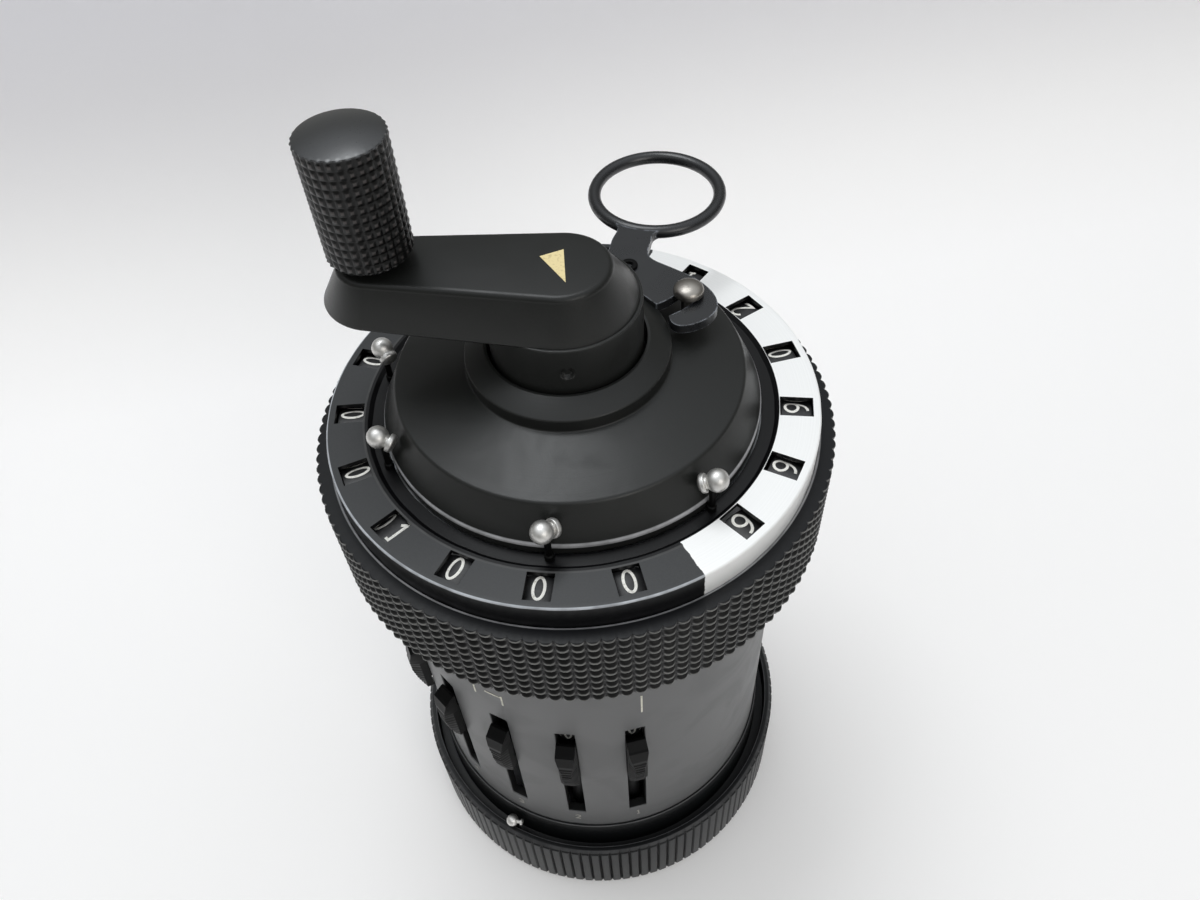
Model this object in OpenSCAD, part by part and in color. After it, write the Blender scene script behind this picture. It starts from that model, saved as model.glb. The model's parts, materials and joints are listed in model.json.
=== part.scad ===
// Hand-cranked stepped-drum calculator, standing upright.
// Z is up and the base stands on Z = 0. Azimuth 0 is the front, minus Y, and
// grows towards plus X, so a piece is made at the front and turned into place.

/* [Body] */
// Diameter of the knurled carriage ring
ring_d = 53; // [50:0.5:56]
// Outer diameter of the casing tube
casing_d = 45; // [44:0.1:46]
// Wall of the casing tube
casing_wall = 1.2; // [0.8:0.05:1.4]
// Height of the casing tube
casing_h = 56.3; // [54:0.1:60]
// Width by which the base cap stands out round the casing
base_flange = 2.9; // [2.8:0.1:3.4]
// Height of the rim of the base cap
base_h = 11.8; // [11:0.1:12.4]
// Thickness of the floor of the base cap
base_floor = 2.4; // [2.1:0.1:2.6]
// Height by which the black foot stands above the rim
foot_rise = 3.2; // [2.8:0.1:3.6]
// Number of ribs round the base cap
base_ribs = 120; // [60:10:140]
// Depth of the ribs
rib_depth = 0.3; // [0.2:0.05:0.5]

/* [Setting sliders] */
// Width of the slots in the casing
slot_w = 2.2; // [2.1:0.05:2.4]
// Distance from the top of the casing to the slots
slot_drop = 16; // [15.6:0.1:16.4]
// Azimuth of the first slot and of the first result window
first_azimuth = 10.6; // [9:0.1:12]
// Angle from one slot or window to the next
pitch = 20; // [20:20]
// Travel of a slider from digit 0 to digit 9
slider_travel = 13.5; // [12.6:0.1:14.4]
// Length of a slider knob
knob_len = 9.4; // [9:0.1:9.8]
// Width of a slider knob
knob_w = 2.2; // [2:0.05:2.4]
// Distance from the casing to the tip of a slider knob
knob_reach = 1.9; // [1.7:0.05:2.1]

/* [Carriage] */
// Height of the knurled ring
ring_h = 11; // [10.6:0.1:11.4]
// Wall of the knurled ring
ring_wall = 1.75; // [1.5:0.05:2]
// Number of main ribs of the knurl round the ring
ring_ribs = 60; // [48:4:72]
// Rows of the main knurl from the top of the ring to its foot
ring_rows = 4; // [3:5]
// Depth of the main knurl
knurl_depth = 0.3; // [0.2:0.05:0.4]
// Height of the numeral plate above the ring
plate_stand = 2.9; // [2.6:0.1:3.2]
// Width of the numeral plate from its edge to its opening
plate_band = 4.13; // [4.05:0.01:4.3]
// Radial length of a window
window_l = 3.25; // [3:0.05:3.3]
// Width of a window across its digit
window_w = 2.5; // [2.3:0.1:2.8]
// Gap between the black and the silver part of the numeral plate
group_gap = 30.5; // [30:0.1:31]
// Lift of the carriage before it can be turned
carriage_rise = 3; // [2:0.1:3]

/* [Clearing] */
// Width of the marker groove between the numeral plate and the cap
cap_gap = 1.8; // [1.6:0.05:2]
// Width of the sloping side of the clearing cap
cap_slope = 1.8; // [1.6:0.1:2.2]
// Height of the shoulder of the cap above the numeral plate
cap_h = 4.6; // [4.4:0.1:5]
// Height of the collar above the shoulder of the cap
collar_h = 3.7; // [3.6:0.1:4]
// Diameter of the collar round the hub
collar_d = 19.8; // [19.4:0.1:20]
// Mean radius of the finger ring
finger_r = 6.9; // [6.6:0.05:7.1]
// Radius of the wire of the finger ring
finger_wire = 0.7; // [0.6:0.05:0.8]

/* [Crank] */
// Thickness of the crank arm
arm_t = 4; // [3.6:0.1:4.4]
// Distance from the axis to the knob
arm_l = 16.8; // [16:0.1:17.2]
// Direction in which the crank points at rest
arm_azimuth = -98.4; // [-105:0.1:-95]
// Diameter of the crank knob
crank_knob_d = 7.9; // [7.4:0.1:8.2]
// Height of the crank knob
crank_knob_h = 12.4; // [11.6:0.1:13.2]
// Lift of the crank for subtraction
crank_rise = 2.25; // [1.5:0.75:2.25]

/* [Hidden] */
$fn = 64;
result_count = 11;
counter_count = 6;
slider_count = 8;
run = 0.06;
seat_gap = 0.02;
clear = 0.3;

// Casing and base
ring_r = ring_d / 2;
casing_r = casing_d / 2;
casing_in = casing_r - casing_wall;
casing_top = base_floor + casing_h;
base_r = casing_r + base_flange;
foot_top = base_h + foot_rise;
foot_wall = 0.45;
rim_wall = 1.1;
groove_in = casing_r + foot_wall;
groove_out = base_r - rim_wall;
groove_depth = 2.6;
groove_floor = base_h - groove_depth;
base_edge = 0.6;
rib_end = 1.2;
screw_azimuths = [30, 150, 270];
screw_ring = 9.5;
screw_r = 0.95;
screw_head_r = 1.9;
screw_head_t = 0.9;
screw_inset = 0.3;
screw_l = 4.1;
screw_slot = 0.5;

// Inner frame
frame_r = casing_in - 0.1;
lower_plate_t = 2.6;
lower_plate_top = base_floor + lower_plate_t;
seat_depth = 1.1;
seat_z = lower_plate_top - seat_depth;
shaft_foot = seat_z + 0.1;
upper_plate_drop = 1.3;
upper_plate_t = 3;
upper_plate_z = [casing_top - upper_plate_drop - upper_plate_t, casing_top - upper_plate_drop];
pillar_r = 1.2;
pillar_ring = casing_in - 2.5;
pillar_azimuths = [26, 105, 201];
bush_r = 5;
bush_h = 4;
bush_top = lower_plate_top + bush_h;

// Heights of the carriage, the cap and the crank
ring_gap = 0.5;
ring_bottom = casing_top + ring_gap;
ring_top = ring_bottom + ring_h;
plate_top = ring_top + plate_stand;
plate_t = 1.1;
cap_shoulder = plate_top + cap_h;
collar_top = cap_shoulder + collar_h;
arm_gap = 1.6;
arm_bottom = collar_top + carriage_rise + arm_gap;
arm_top = arm_bottom + arm_t;

// Neck
neck_r = 6.6;
neck_flange_r = 9.5;
neck_flange_t = 1;
neck_top = cap_shoulder + 1.4;
neck_head_t = 1.2;
neck_relief_r = 5.2;
neck_relief_z = [upper_plate_z[1] + 2.6, neck_top - 6.1];

// Drive
shaft_r = 3.2;
shaft_bottom = base_floor + 1;
shaft_cover = 1.2;
slot_top = casing_top - slot_drop;
knob_stop = 2.2;
slot_end = 0.5;
knob_top = slot_top - knob_stop;
tip_drop = 0.75;
neck_z = [knob_top - 7.2, knob_top - 2.6];
slot_bottom = neck_z[0] - slider_travel - slot_end;
level_zero = knob_top - 4.6;
level_step = slider_travel / 9;

// Transmission shafts, on a ring inside the setting rolls
line_ring = casing_in - 7.1;
line_gap = 2 * line_ring * sin(pitch / 2);
line_r = 0.8;
gear_tip = line_gap / 2 - 0.216;
gear_root = gear_tip - 0.75;
gear_t = 0.6;
gear_hub_r = line_r + 0.26;
gear_hub_h = 1.7;
gear_flange_r = gear_hub_r + 0.39;
gear_flange_t = 0.4;
fork_r = gear_flange_r + clear;
fork_t = 0.6;
fork_arm = 0.8;
fork_z = level_zero + fork_t;

// Stepped drum and tens bell
mesh_depth = 0.45;
drum_tip = line_ring - gear_tip + mesh_depth;
drum_root = drum_tip - 1;
drum_wall = 1.3;
drum_web = 1.4;
drum_core_r = 5;
drum_bore = shaft_r + seat_gap;
drum_z = [level_zero - slider_travel - 4, level_zero + 1];
tooth_w = 1;
tooth_pitch = 10;
tooth_first = first_azimuth + 60;
row_t = 0.5;
carry_tip = gear_tip - 0.35;
bell_tip = line_ring - carry_tip - 0.35;
bell_r = bell_tip - 0.95;
bell_wall = 1.2;
bell_hub_r = 4.6;
bell_hub_h = 5;
bell_h = 8.3;
bell_z = [upper_plate_z[0] - 0.1 - bell_h, upper_plate_z[0] - 0.1];
carry_z = [bell_z[0] + 3, bell_z[0] + 4];

// Setting rolls
roll_ring = casing_in - 2.1;
roll_r = 1.9;
roll_z = [slot_top - 4.5, slot_top - 1.3];
roll_shaft_r = 1.1;
roll_pin_r = 0.6;
roll_shaft_z = slot_bottom - 2.8;
roll_pin_top = upper_plate_z[0] + 0.6;

// Numeral plate and number dials
plate_r = ring_r - ring_wall - 0.02;
plate_bore = plate_r - plate_band;
plate_skirt = 0.5;
plate_skirt_z = plate_top - 10.6;
dial_r = 3;
dial_z = plate_top - plate_t - clear - dial_r;
dial_span = [plate_bore + 0.15, plate_r - plate_skirt - 0.23];
dial_axle_r = 0.6;
dial_collar_r = 1.2;
dial_gear_r = 2.4;
dial_gear_span = [line_ring + 1.2, line_ring + 2.2];
window_mid = plate_bore + 0.12 + window_l / 2;
crown_z = [dial_z - dial_gear_r - clear - 1.2, dial_z - dial_gear_r - clear];

// Dial carrier and spring
sleeve_in = neck_r + run;
sleeve_out = 8.6;
spring_z = [ring_top - 2.3, neck_top - neck_head_t];
spring_r = 7.05;
spring_wire = 0.3;
spring_turns = 5;
disc_z = [plate_top - 1.8, plate_top - 0.8];
flange_top = plate_top - 0.35;
bearing_t = 1.2;
bearing_mid = (dial_gear_span[1] + dial_span[0]) / 2;
bearing_rings = [
    [line_ring - 3.2, line_ring - 3.2 + bearing_t],
    [bearing_mid - bearing_t / 2, bearing_mid + bearing_t / 2]];

// Clearing cap
cap_r = plate_bore - cap_gap;
cap_top_r = cap_r - cap_slope;
cap_wall = 1.1;
cap_edge_z = plate_top + 0.7;
cap_lower_z = plate_top - 0.3;
collar_r = collar_d / 2;
collar_foot = cap_shoulder + 1.25;
collar_bevel = 1.1;
cap_bore = sleeve_out + run;
cap_bore_top = neck_top - 0.1;

// Hub and crank
hub_r = 7.3;
hub_bottom = neck_top + 0.4;
hub_bore = hub_r + clear;
hub_hole_r = 0.5;
hub_hole_z = arm_bottom - 2.4;
knob_x = arm_l * sin(arm_azimuth);
knob_y = -arm_l * cos(arm_azimuth);
spindle_r = 1.4;
spindle_z = arm_bottom + 1;
spindle_l = 12.2;
crank_knob_r = crank_knob_d / 2;
knob_bottom = arm_top + 0.6;
crank_knob_top = knob_bottom + crank_knob_h;
mark_depth = 0.4;
mark_points = [[-1.75, 1.2], [0.4, 1.95], [0.45, -2.6]];

// Ring lever
pivot = [6.6, 10.1];
pivot_r = 0.7;
post = [12.1, 5.06];
post_r = 0.7;
post_head_r = 1.5;
post_seat_z = cap_shoulder + 0.2;
pivot_seat_z = cap_shoulder + 1.8;
post_reach = norm(post - pivot);
lever_z = [cap_shoulder + 2.3, cap_shoulder + 3.3];
lever_fold = 66;
finger = [10.6, 22.9];
collar_clear = collar_r + clear + 0.05;

// Markers
marker_ball = 1.05;
marker_ring = (cap_r + plate_bore) / 2 - 0.2;
marker_rise = 3.25;
marker_azimuths = [-105.8, -69.6, -8.3, 40.9];
marker_sides = [1, 1, 1, -1];
marker_lean = [1.55, 0.4, 0.25];
base_marker_azimuth = -32;
base_marker_lean = [1.3, 0.3, 0.2];
base_marker_ball = 0.8;
base_marker_rise = 1.2;

reverser_azimuth = 155.8;
reverser_z = casing_top - 9.2;
reverser_travel = 4;
reverser_size = 3;

RESULT = [for (i = [1:result_count]) str("result_dial_", i)];
COUNTER = [for (i = [1:counter_count]) str("counter_dial_", i)];
SLIDERS = [for (i = [1:slider_count]) str("slider_", i)];
ROLLS = [for (i = [1:slider_count]) str("setting_roll_", i)];
MARKERS = [for (i = [1:len(marker_azimuths)]) str("decimal_marker_", i)];

black = "#1c1d1f";
grey = "#6d7072";
silver = "#d9dbdc";
steel = "#9a9ea2";
brass = "#b89a4e";

function azimuth_of(k) = first_azimuth - pitch * k;
function counter_azimuth(k) = first_azimuth + group_gap + pitch * k;
LINES = concat([for (k = [0:result_count - 1]) azimuth_of(k)],
               [for (k = [0:counter_count - 1]) counter_azimuth(k)]);
function polar(r, a) = [r * cos(a), r * sin(a)];
// Outline of a gear or of ribs; foot and crest are half widths in pitches
function gear_points(teeth, root, tip, foot = 0.3, crest = 0.15) = [
    for (i = [0:teeth - 1]) each [
        polar(root, (i - foot) * 360 / teeth),
        polar(tip, (i - crest) * 360 / teeth),
        polar(tip, (i + crest) * 360 / teeth),
        polar(root, (i + foot) * 360 / teeth)]];

module at_azimuth(a) {
    rotate([0, 0, a]) children();
}

module at_front(r, z) {
    translate([0, -r, z]) children();
}

// An upright cylinder from one height to another
module rod(radius, z0, z1) {
    translate([0, 0, z0]) cylinder(r = radius, h = z1 - z0);
}

module tube(r_out, r_in, z0, z1) {
    difference() {
        rod(r_out, z0, z1);
        rod(r_in, z0 - 1, z1 + 1);
    }
}

// A bar along the radius, centred on the front line
module radial_bar(r0, r1, width, z0, z1) {
    translate([-width / 2, -r1, z0]) cube([width, r1 - r0, z1 - z0]);
}

// A round pin along the radius
module radial_pin(r0, r1, radius, z) {
    at_front(r0, z) rotate([90, 0, 0]) cylinder(r = radius, h = r1 - r0);
}

module base_cap() {
    bore = casing_r + 0.05;
    root_r = base_r - rib_depth;
    color(black) difference() {
        union() {
            rotate_extrude($fn = 128) polygon([
                [0, 0], [root_r - base_edge, 0], [root_r, base_edge], [root_r, base_h - base_edge / 1.5],
                [root_r - base_edge / 1.5, base_h], [groove_out, base_h], [groove_out, groove_floor],
                [groove_in, groove_floor], [groove_in, foot_top - 2.5],
                [groove_in - foot_wall / 2, foot_top], [bore, foot_top], [bore, base_floor],
                [0, base_floor]]);
            translate([0, 0, rib_end]) linear_extrude(base_h - 2 * rib_end) difference() {
                polygon(gear_points(base_ribs, root_r, base_r, 0.46, 0.34));
                circle(r = (groove_out + root_r) / 2);
            }
        }
        for (a = screw_azimuths) at_azimuth(a) at_front(screw_ring, 0) {
            rod(screw_r + 0.1, -1, base_floor + 1);
            rod(screw_head_r + 0.1, -1, screw_inset + screw_head_t);
        }
    }
}

module base_screws() {
    color(steel) for (a = screw_azimuths) at_azimuth(a) at_front(screw_ring, 0) difference() {
        union() {
            rod(screw_head_r, screw_inset, screw_inset + screw_head_t);
            rod(screw_r, screw_inset + screw_head_t / 2, screw_inset + screw_l);
        }
        translate([-screw_head_r - 1, -screw_slot / 2, 0])
            cube([2 * screw_head_r + 2, screw_slot, screw_inset + screw_head_t / 2]);
    }
}

module casing() {
    color(grey) difference() {
        tube(casing_r, casing_in, base_floor, casing_top);
        for (k = [0:slider_count - 1]) at_azimuth(azimuth_of(k))
            radial_bar(casing_in - 1, casing_r + 1, slot_w, slot_bottom, slot_top);
        at_azimuth(reverser_azimuth)
            radial_bar(casing_in - 1, casing_r + 1, slot_w, reverser_z - reverser_travel - 2,
                       reverser_z + 2.2);
    }
}

module lower_frame() {
    color(steel) difference() {
        union() {
            rod(frame_r, base_floor, lower_plate_top);
            rod(bush_r, base_floor, bush_top);
            for (a = pillar_azimuths) at_azimuth(a)
                at_front(pillar_ring, 0) rod(pillar_r, lower_plate_top - 1, upper_plate_z[0]);
        }
        rod(shaft_r + run, 0, bush_top + 1);
        for (a = LINES) at_azimuth(a)
            at_front(line_ring, 0) rod(line_r + seat_gap, seat_z, bush_top);
        for (k = [0:slider_count - 1]) at_azimuth(azimuth_of(k))
            at_front(roll_ring, 0) rod(roll_pin_r + run, seat_z, bush_top);
        for (a = screw_azimuths) at_azimuth(a)
            at_front(screw_ring, 0) rod(screw_r, 0, screw_inset + screw_l);
    }
}

module upper_plate() {
    color(steel) difference() {
        rod(frame_r, upper_plate_z[0], upper_plate_z[1]);
        rod(neck_r + seat_gap, upper_plate_z[0] - 1, upper_plate_z[1] + 1);
        for (a = LINES) at_azimuth(a)
            at_front(line_ring, 0) rod(line_r + seat_gap, upper_plate_z[0] - 1, upper_plate_z[1] + 1);
        for (k = [0:slider_count - 1]) at_azimuth(azimuth_of(k)) at_front(roll_ring, 0)
            rod(roll_pin_r + run, upper_plate_z[0] - 1, roll_pin_top + 0.8);
    }
}

module neck_tube() {
    color(steel) difference() {
        union() {
            rod(neck_r, upper_plate_z[0], neck_top);
            rod(neck_flange_r, upper_plate_z[1], upper_plate_z[1] + neck_flange_t);
            rod(hub_r, neck_top - neck_head_t, neck_top);
        }
        rod(shaft_r + run, upper_plate_z[0] - 1, neck_top + 1);
        rod(neck_relief_r, neck_relief_z[0], neck_relief_z[1]);
    }
}

// One vertical line of the train: a shaft, its crown gear and its carry gear
module transmission_line() {
    at_front(line_ring, 0) {
        rod(line_r, shaft_foot, crown_z[0] + 0.2);
        translate([0, 0, crown_z[0]]) linear_extrude(crown_z[1] - crown_z[0])
            polygon(gear_points(10, gear_root, gear_tip - 0.25));
        translate([0, 0, carry_z[0]]) linear_extrude(carry_z[1] - carry_z[0])
            polygon(gear_points(10, gear_root - 0.1, carry_tip));
    }
}

module transmission_shafts() {
    color(steel) for (a = LINES) at_azimuth(a) transmission_line();
}

module reversing_lever() {
    low = reverser_z - reverser_size / 2;
    high = reverser_z + reverser_size / 2;
    color(black) at_azimuth(reverser_azimuth) {
        radial_bar(casing_r + 0.1, casing_r + knob_reach, reverser_size, low, high);
        radial_bar(casing_in - 0.4, casing_r + 1, slot_w - 0.2, low, high);
        radial_bar(casing_in - 1, casing_in - 0.3, slot_w + 1.2, low - 0.3, high + 0.3);
    }
}

// Side view of the knob: its top leans out to the tip line, and the grip bulges
// a little below it and falls back to the casing
module slider_knob_outline() {
    foot_r = casing_r + 0.1;
    tip_r = casing_r + knob_reach - 0.35;
    grip_r = casing_r + knob_reach;
    tip_z = knob_top - tip_drop;
    low = knob_top - knob_len;
    polygon([[foot_r, knob_top], [foot_r + 0.3, knob_top], [tip_r, tip_z],
             [grip_r, tip_z - 1.6], [grip_r, tip_z - 4.6], [grip_r - 0.3, tip_z - 6.6],
             [grip_r - 0.8, low], [foot_r, low]]);
}

// Front view of the knob: full width at the tip line and narrow at the grip
module slider_knob_front() {
    tip_z = knob_top - tip_drop;
    low = knob_top - knob_len;
    grip_w = knob_w / 2;
    polygon([[-knob_w / 2, knob_top + 1], [-knob_w / 2, tip_z - 0.4], [-grip_w / 2, tip_z - 3.4],
             [-grip_w / 2, low - 1], [grip_w / 2, low - 1], [grip_w / 2, tip_z - 3.4],
             [knob_w / 2, tip_z - 0.4], [knob_w / 2, knob_top + 1]]);
}

module slider_knob() {
    // The side view lies in the plane of radius and height
    intersection() {
        translate([knob_w / 2, 0, 0]) rotate([90, 0, -90]) linear_extrude(knob_w)
            slider_knob_outline();
        union() {
            translate([0, -casing_r, 0]) rotate([90, 0, 0]) linear_extrude(knob_reach + 1)
                slider_knob_front();
            radial_bar(casing_r, casing_r + knob_reach / 2, knob_w, knob_top - knob_len - 1,
                       knob_top + 1);
        }
    }
}

module slider_body() {
    plate_r1 = casing_in - clear - 0.05;
    plate_t1 = 0.45;
    difference() {
        union() {
            slider_knob();
            radial_bar(plate_r1 - 0.2, casing_r + 0.3, slot_w - 0.14, neck_z[0], neck_z[1]);
            translate([-1.6, -plate_r1, neck_z[0]]) cube([3.9, plate_t1, neck_z[1] - neck_z[0]]);
            translate([1.5, -plate_r1, fork_z]) cube([fork_arm, plate_r1 - line_ring + 1, fork_t]);
            at_front(line_ring, 0) rod(fork_r, fork_z, fork_z + fork_t);
            translate([0, -line_ring - fork_r, fork_z]) cube([1.5 + fork_arm, 2 * fork_r, fork_t]);
        }
        at_front(line_ring, 0) rod(gear_hub_r + run, fork_z - 1, fork_z + fork_t + 1);
        rod(drum_tip + 0.5, 0, casing_top);
    }
}

// The sliding gear that the slider carries along its transmission shaft
module sliding_gear() {
    at_front(line_ring, 0) difference() {
        union() {
            translate([0, 0, level_zero - gear_t / 2]) linear_extrude(gear_t)
                polygon(gear_points(5, gear_root, gear_tip));
            rod(gear_hub_r, level_zero, level_zero + gear_hub_h);
            rod(gear_flange_r, level_zero + 1.4, level_zero + 1.4 + gear_flange_t);
        }
        rod(line_r + run, level_zero - 2, level_zero + 4);
    }
}

module slider(i) {
    at_azimuth(azimuth_of(i - 1)) {
        color(black) slider_body();
        color(brass) sliding_gear();
    }
}

module setting_roll(i) {
    color(steel) at_azimuth(azimuth_of(i - 1)) at_front(roll_ring, 0) {
        rod(roll_pin_r, shaft_foot, roll_pin_top);
        rod(roll_shaft_r, roll_shaft_z, roll_z[0] + 0.1);
        rod(roll_r, roll_z[0], roll_z[1]);
    }
}

module number_dial(a) {
    at_azimuth(a) {
        color(black) radial_pin(dial_span[0], dial_span[1], dial_r, dial_z);
        color(steel) radial_pin(bearing_rings[0][0] + 0.3, dial_span[0] + 0.5, dial_axle_r, dial_z);
        color(steel) radial_pin(bearing_rings[1][1] + 0.35, dial_span[0] + 0.2, dial_collar_r, dial_z);
        color(brass) at_front(dial_gear_span[0], dial_z) rotate([90, 0, 0])
            linear_extrude(dial_gear_span[1] - dial_gear_span[0])
                polygon(gear_points(10, dial_gear_r * 0.75, dial_gear_r));
    }
}

module tens_bell() {
    color(brass) difference() {
        union() {
            rod(bell_r, bell_z[1] - 1.6, bell_z[1] - 0.4);
            tube(bell_r, bell_r - bell_wall, bell_z[0], bell_z[1] - 1);
            rod(bell_hub_r, bell_z[1] - bell_hub_h, bell_z[1]);
            for (k = [0:8]) at_azimuth(tooth_first + tooth_pitch * k)
                radial_bar(bell_r - 0.4, bell_tip, tooth_w, carry_z[0] + 0.2, carry_z[1] - 0.2);
        }
        rod(shaft_r + run, bell_z[0] - 1, bell_z[1] + 1);
    }
}

module main_shaft() {
    color(steel) rod(shaft_r, shaft_bottom, arm_top - shaft_cover);
}

// The drum has a row of n teeth at the level of digit n, and between these
// rows the complement rows, which the lifted crank brings into use
module stepped_drum() {
    color(brass) {
        tube(drum_root, drum_root - drum_wall, drum_z[0], drum_z[1]);
        for (z = [drum_z[0], drum_z[1] - drum_web])
            tube(drum_root - drum_wall / 2, drum_bore, z, z + drum_web);
        tube(drum_core_r, drum_bore, drum_z[0], drum_z[1]);
        for (n = [1:9]) for (k = [0:n - 1]) drum_tooth(k, level_zero - level_step * n);
        for (n = [0:8]) for (k = [0:8 - n]) drum_tooth(k, level_zero - level_step * n - crank_rise);
    }
}

module drum_tooth(k, z) {
    at_azimuth(tooth_first + tooth_pitch * k)
        radial_bar(drum_root - 0.5, drum_tip, tooth_w, z - row_t / 2, z + row_t / 2);
}

module arm_level(hub, tip, z) {
    translate([0, 0, z]) cylinder(r = hub, h = 0.01, $fn = 60);
    translate([knob_x, knob_y, z]) cylinder(r = tip, h = 0.01, $fn = 60);
}

module crank_arm() {
    color(black) difference() {
        union() {
            hull() {
                arm_level(6.9, 5.2, arm_bottom);
                arm_level(7, 5.3, arm_bottom + 0.5);
                arm_level(4.5, 3.35, arm_top - 0.2);
                arm_level(4.3, 3.15, arm_top);
            }
            rod(hub_r, hub_bottom, arm_bottom + 0.3);
        }
        rod(drum_bore, hub_bottom - 1, arm_top - shaft_cover);
        translate([knob_x, knob_y, 0]) rod(spindle_r, spindle_z, arm_top + 1);
        translate([0, 0, arm_top - mark_depth]) linear_extrude(1) polygon(mark_points);
        at_front(hub_r - 0.5, hub_hole_z) rotate([90, 0, 0]) cylinder(r = hub_hole_r, h = 2);
    }
}

module crank_mark() {
    color("#e3d9a0") translate([0, 0, arm_top - mark_depth]) linear_extrude(mark_depth + 0.03)
        polygon(mark_points);
}

module crank_knob() {
    color(black) translate([knob_x, knob_y, 0]) difference() {
        rotate_extrude() {
            polygon([[0, knob_bottom], [crank_knob_r - 0.9, knob_bottom],
                     [crank_knob_r, knob_bottom + 1], [crank_knob_r, crank_knob_top - 0.7],
                     [crank_knob_r - 0.15, crank_knob_top - 0.42],
                     [crank_knob_r - 0.75, crank_knob_top - 0.15],
                     [crank_knob_r - 1.9, crank_knob_top], [0, crank_knob_top]]);
        }
        rod(spindle_r + run, knob_bottom - 1, knob_bottom + 9);
    }
}

module knob_spindle() {
    color(steel) translate([knob_x, knob_y, 0]) rod(spindle_r, spindle_z, knob_bottom + 8.6);
}

// Corner j of ring i of the spring wire, which runs in a screw line
function spring_point(i, j, steps, low, high) =
    let (t = i / steps, a = 360 * spring_turns * t, r = spring_r + spring_wire * cos(60 * j))
    [r * cos(a), r * sin(a), low + (high - low) * t + spring_wire * sin(60 * j)];

module carriage_spring() {
    steps = spring_turns * 24;
    low = spring_z[0] + spring_wire + 0.1;
    high = spring_z[1] - spring_wire - 0.1;
    points = [for (i = [0:steps]) for (j = [0:5]) spring_point(i, j, steps, low, high)];
    sides = [for (i = [0:steps - 1]) for (j = [0:5]) let (k = (j + 1) % 6) each [
        [6 * i + j, 6 * (i + 1) + j, 6 * (i + 1) + k],
        [6 * i + j, 6 * (i + 1) + k, 6 * i + k]]];
    first = [for (j = [1:4]) [0, j, j + 1]];
    last = [for (j = [1:4]) [6 * steps, 6 * steps + j + 1, 6 * steps + j]];
    color(steel) polyhedron(points, concat(sides, first, last));
}

// The knurl: upright ribs, crossed by grooves turned round the ring
module carriage_ring() {
    inner = ring_r - ring_wall;
    lip = inner - ring_wall;
    lip_t = 1.2;
    row = ring_h / ring_rows;
    grooves = [for (k = [1:ring_rows - 1]) let (z = ring_bottom + row * k) each [
        [ring_r, z - 0.35], [ring_r - knurl_depth, z - 0.08],
        [ring_r - knurl_depth, z + 0.08], [ring_r, z + 0.35]]];
    color(black) intersection() {
        rotate_extrude($fn = 128) polygon(concat(
            [[lip, ring_bottom], [ring_r - 0.4, ring_bottom], [ring_r, ring_bottom + 0.4]],
            grooves,
            [[ring_r, ring_top - 0.4], [ring_r - 0.5, ring_top], [inner, ring_top - 0.3],
             [inner, ring_bottom + lip_t], [lip, ring_bottom + lip_t]]));
        translate([0, 0, ring_bottom - 1]) linear_extrude(ring_h + 2)
            polygon(gear_points(ring_ribs, ring_r - knurl_depth, ring_r, 0.4, 0.2));
    }
}

module numeral_plate() {
    flange_in = cap_r + 0.15;
    color(silver) difference() {
        rotate_extrude($fn = 128) polygon([
            [plate_bore, plate_top], [plate_r - 0.25, plate_top], [plate_r, plate_top - 0.25],
            [plate_r, plate_skirt_z], [plate_r - plate_skirt, plate_skirt_z],
            [plate_r - plate_skirt, plate_top - plate_t], [plate_bore - 0.1, plate_top - plate_t],
            [plate_bore - 0.1, disc_z[1]], [flange_in, disc_z[1]],
            [flange_in, flange_top], [plate_bore - 0.4, flange_top]]);
        for (a = LINES) at_azimuth(a)
            radial_bar(window_mid - window_l / 2, window_mid + window_l / 2, window_w,
                       plate_top - 2 * plate_t, plate_top + 1);
    }
}

module dial_carrier() {
    disc_r = plate_bore - 0.6;
    color(steel) difference() {
        union() {
            rotate_extrude($fn = 96) polygon([
                [sleeve_in, ring_bottom + 0.2], [sleeve_out, ring_bottom + 0.2],
                [sleeve_out, disc_z[0]], [disc_r, disc_z[0]], [disc_r, disc_z[1]],
                [sleeve_out, disc_z[1]], [sleeve_out, neck_top - 0.5], [hub_bore, neck_top - 0.5],
                [hub_bore, spring_z[0]], [sleeve_in, spring_z[0]]]);
            for (b = bearing_rings) tube(b[1], b[0], dial_z - 1.9, disc_z[0] + 0.1);
        }
        for (a = LINES) at_azimuth(a)
            radial_pin(bearing_rings[0][0] - 0.5, bearing_rings[1][1] + 0.6, dial_axle_r + run, dial_z);
    }
}

module clearing_cap() {
    foot_z = disc_z[1] + run;
    color(black) difference() {
        union() {
            rotate_extrude($fn = 96) polygon([
                [hub_bore, cap_bore_top], [hub_bore, collar_top], [hub_bore + clear, collar_top],
                [collar_r, collar_top - collar_bevel], [collar_r, collar_foot], [cap_top_r, cap_shoulder],
                [cap_r, cap_edge_z], [cap_r, cap_lower_z], [cap_r - cap_wall - 0.1, cap_lower_z],
                [cap_top_r - cap_wall, cap_shoulder - cap_wall - 0.1], [collar_r, cap_shoulder - 0.1],
                [collar_r, foot_z], [cap_bore, foot_z], [cap_bore, cap_bore_top]]);
            translate([pivot[0], pivot[1], 0]) rod(1.6, cap_shoulder + 0.3, lever_z[0] - run);
        }
        translate([pivot[0], pivot[1], 0]) rod(pivot_r + seat_gap, pivot_seat_z, lever_z[0] + 1);
        translate([post[0], post[1], 0]) rod(post_r + seat_gap, post_seat_z, lever_z[0] + 1);
    }
}

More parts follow.
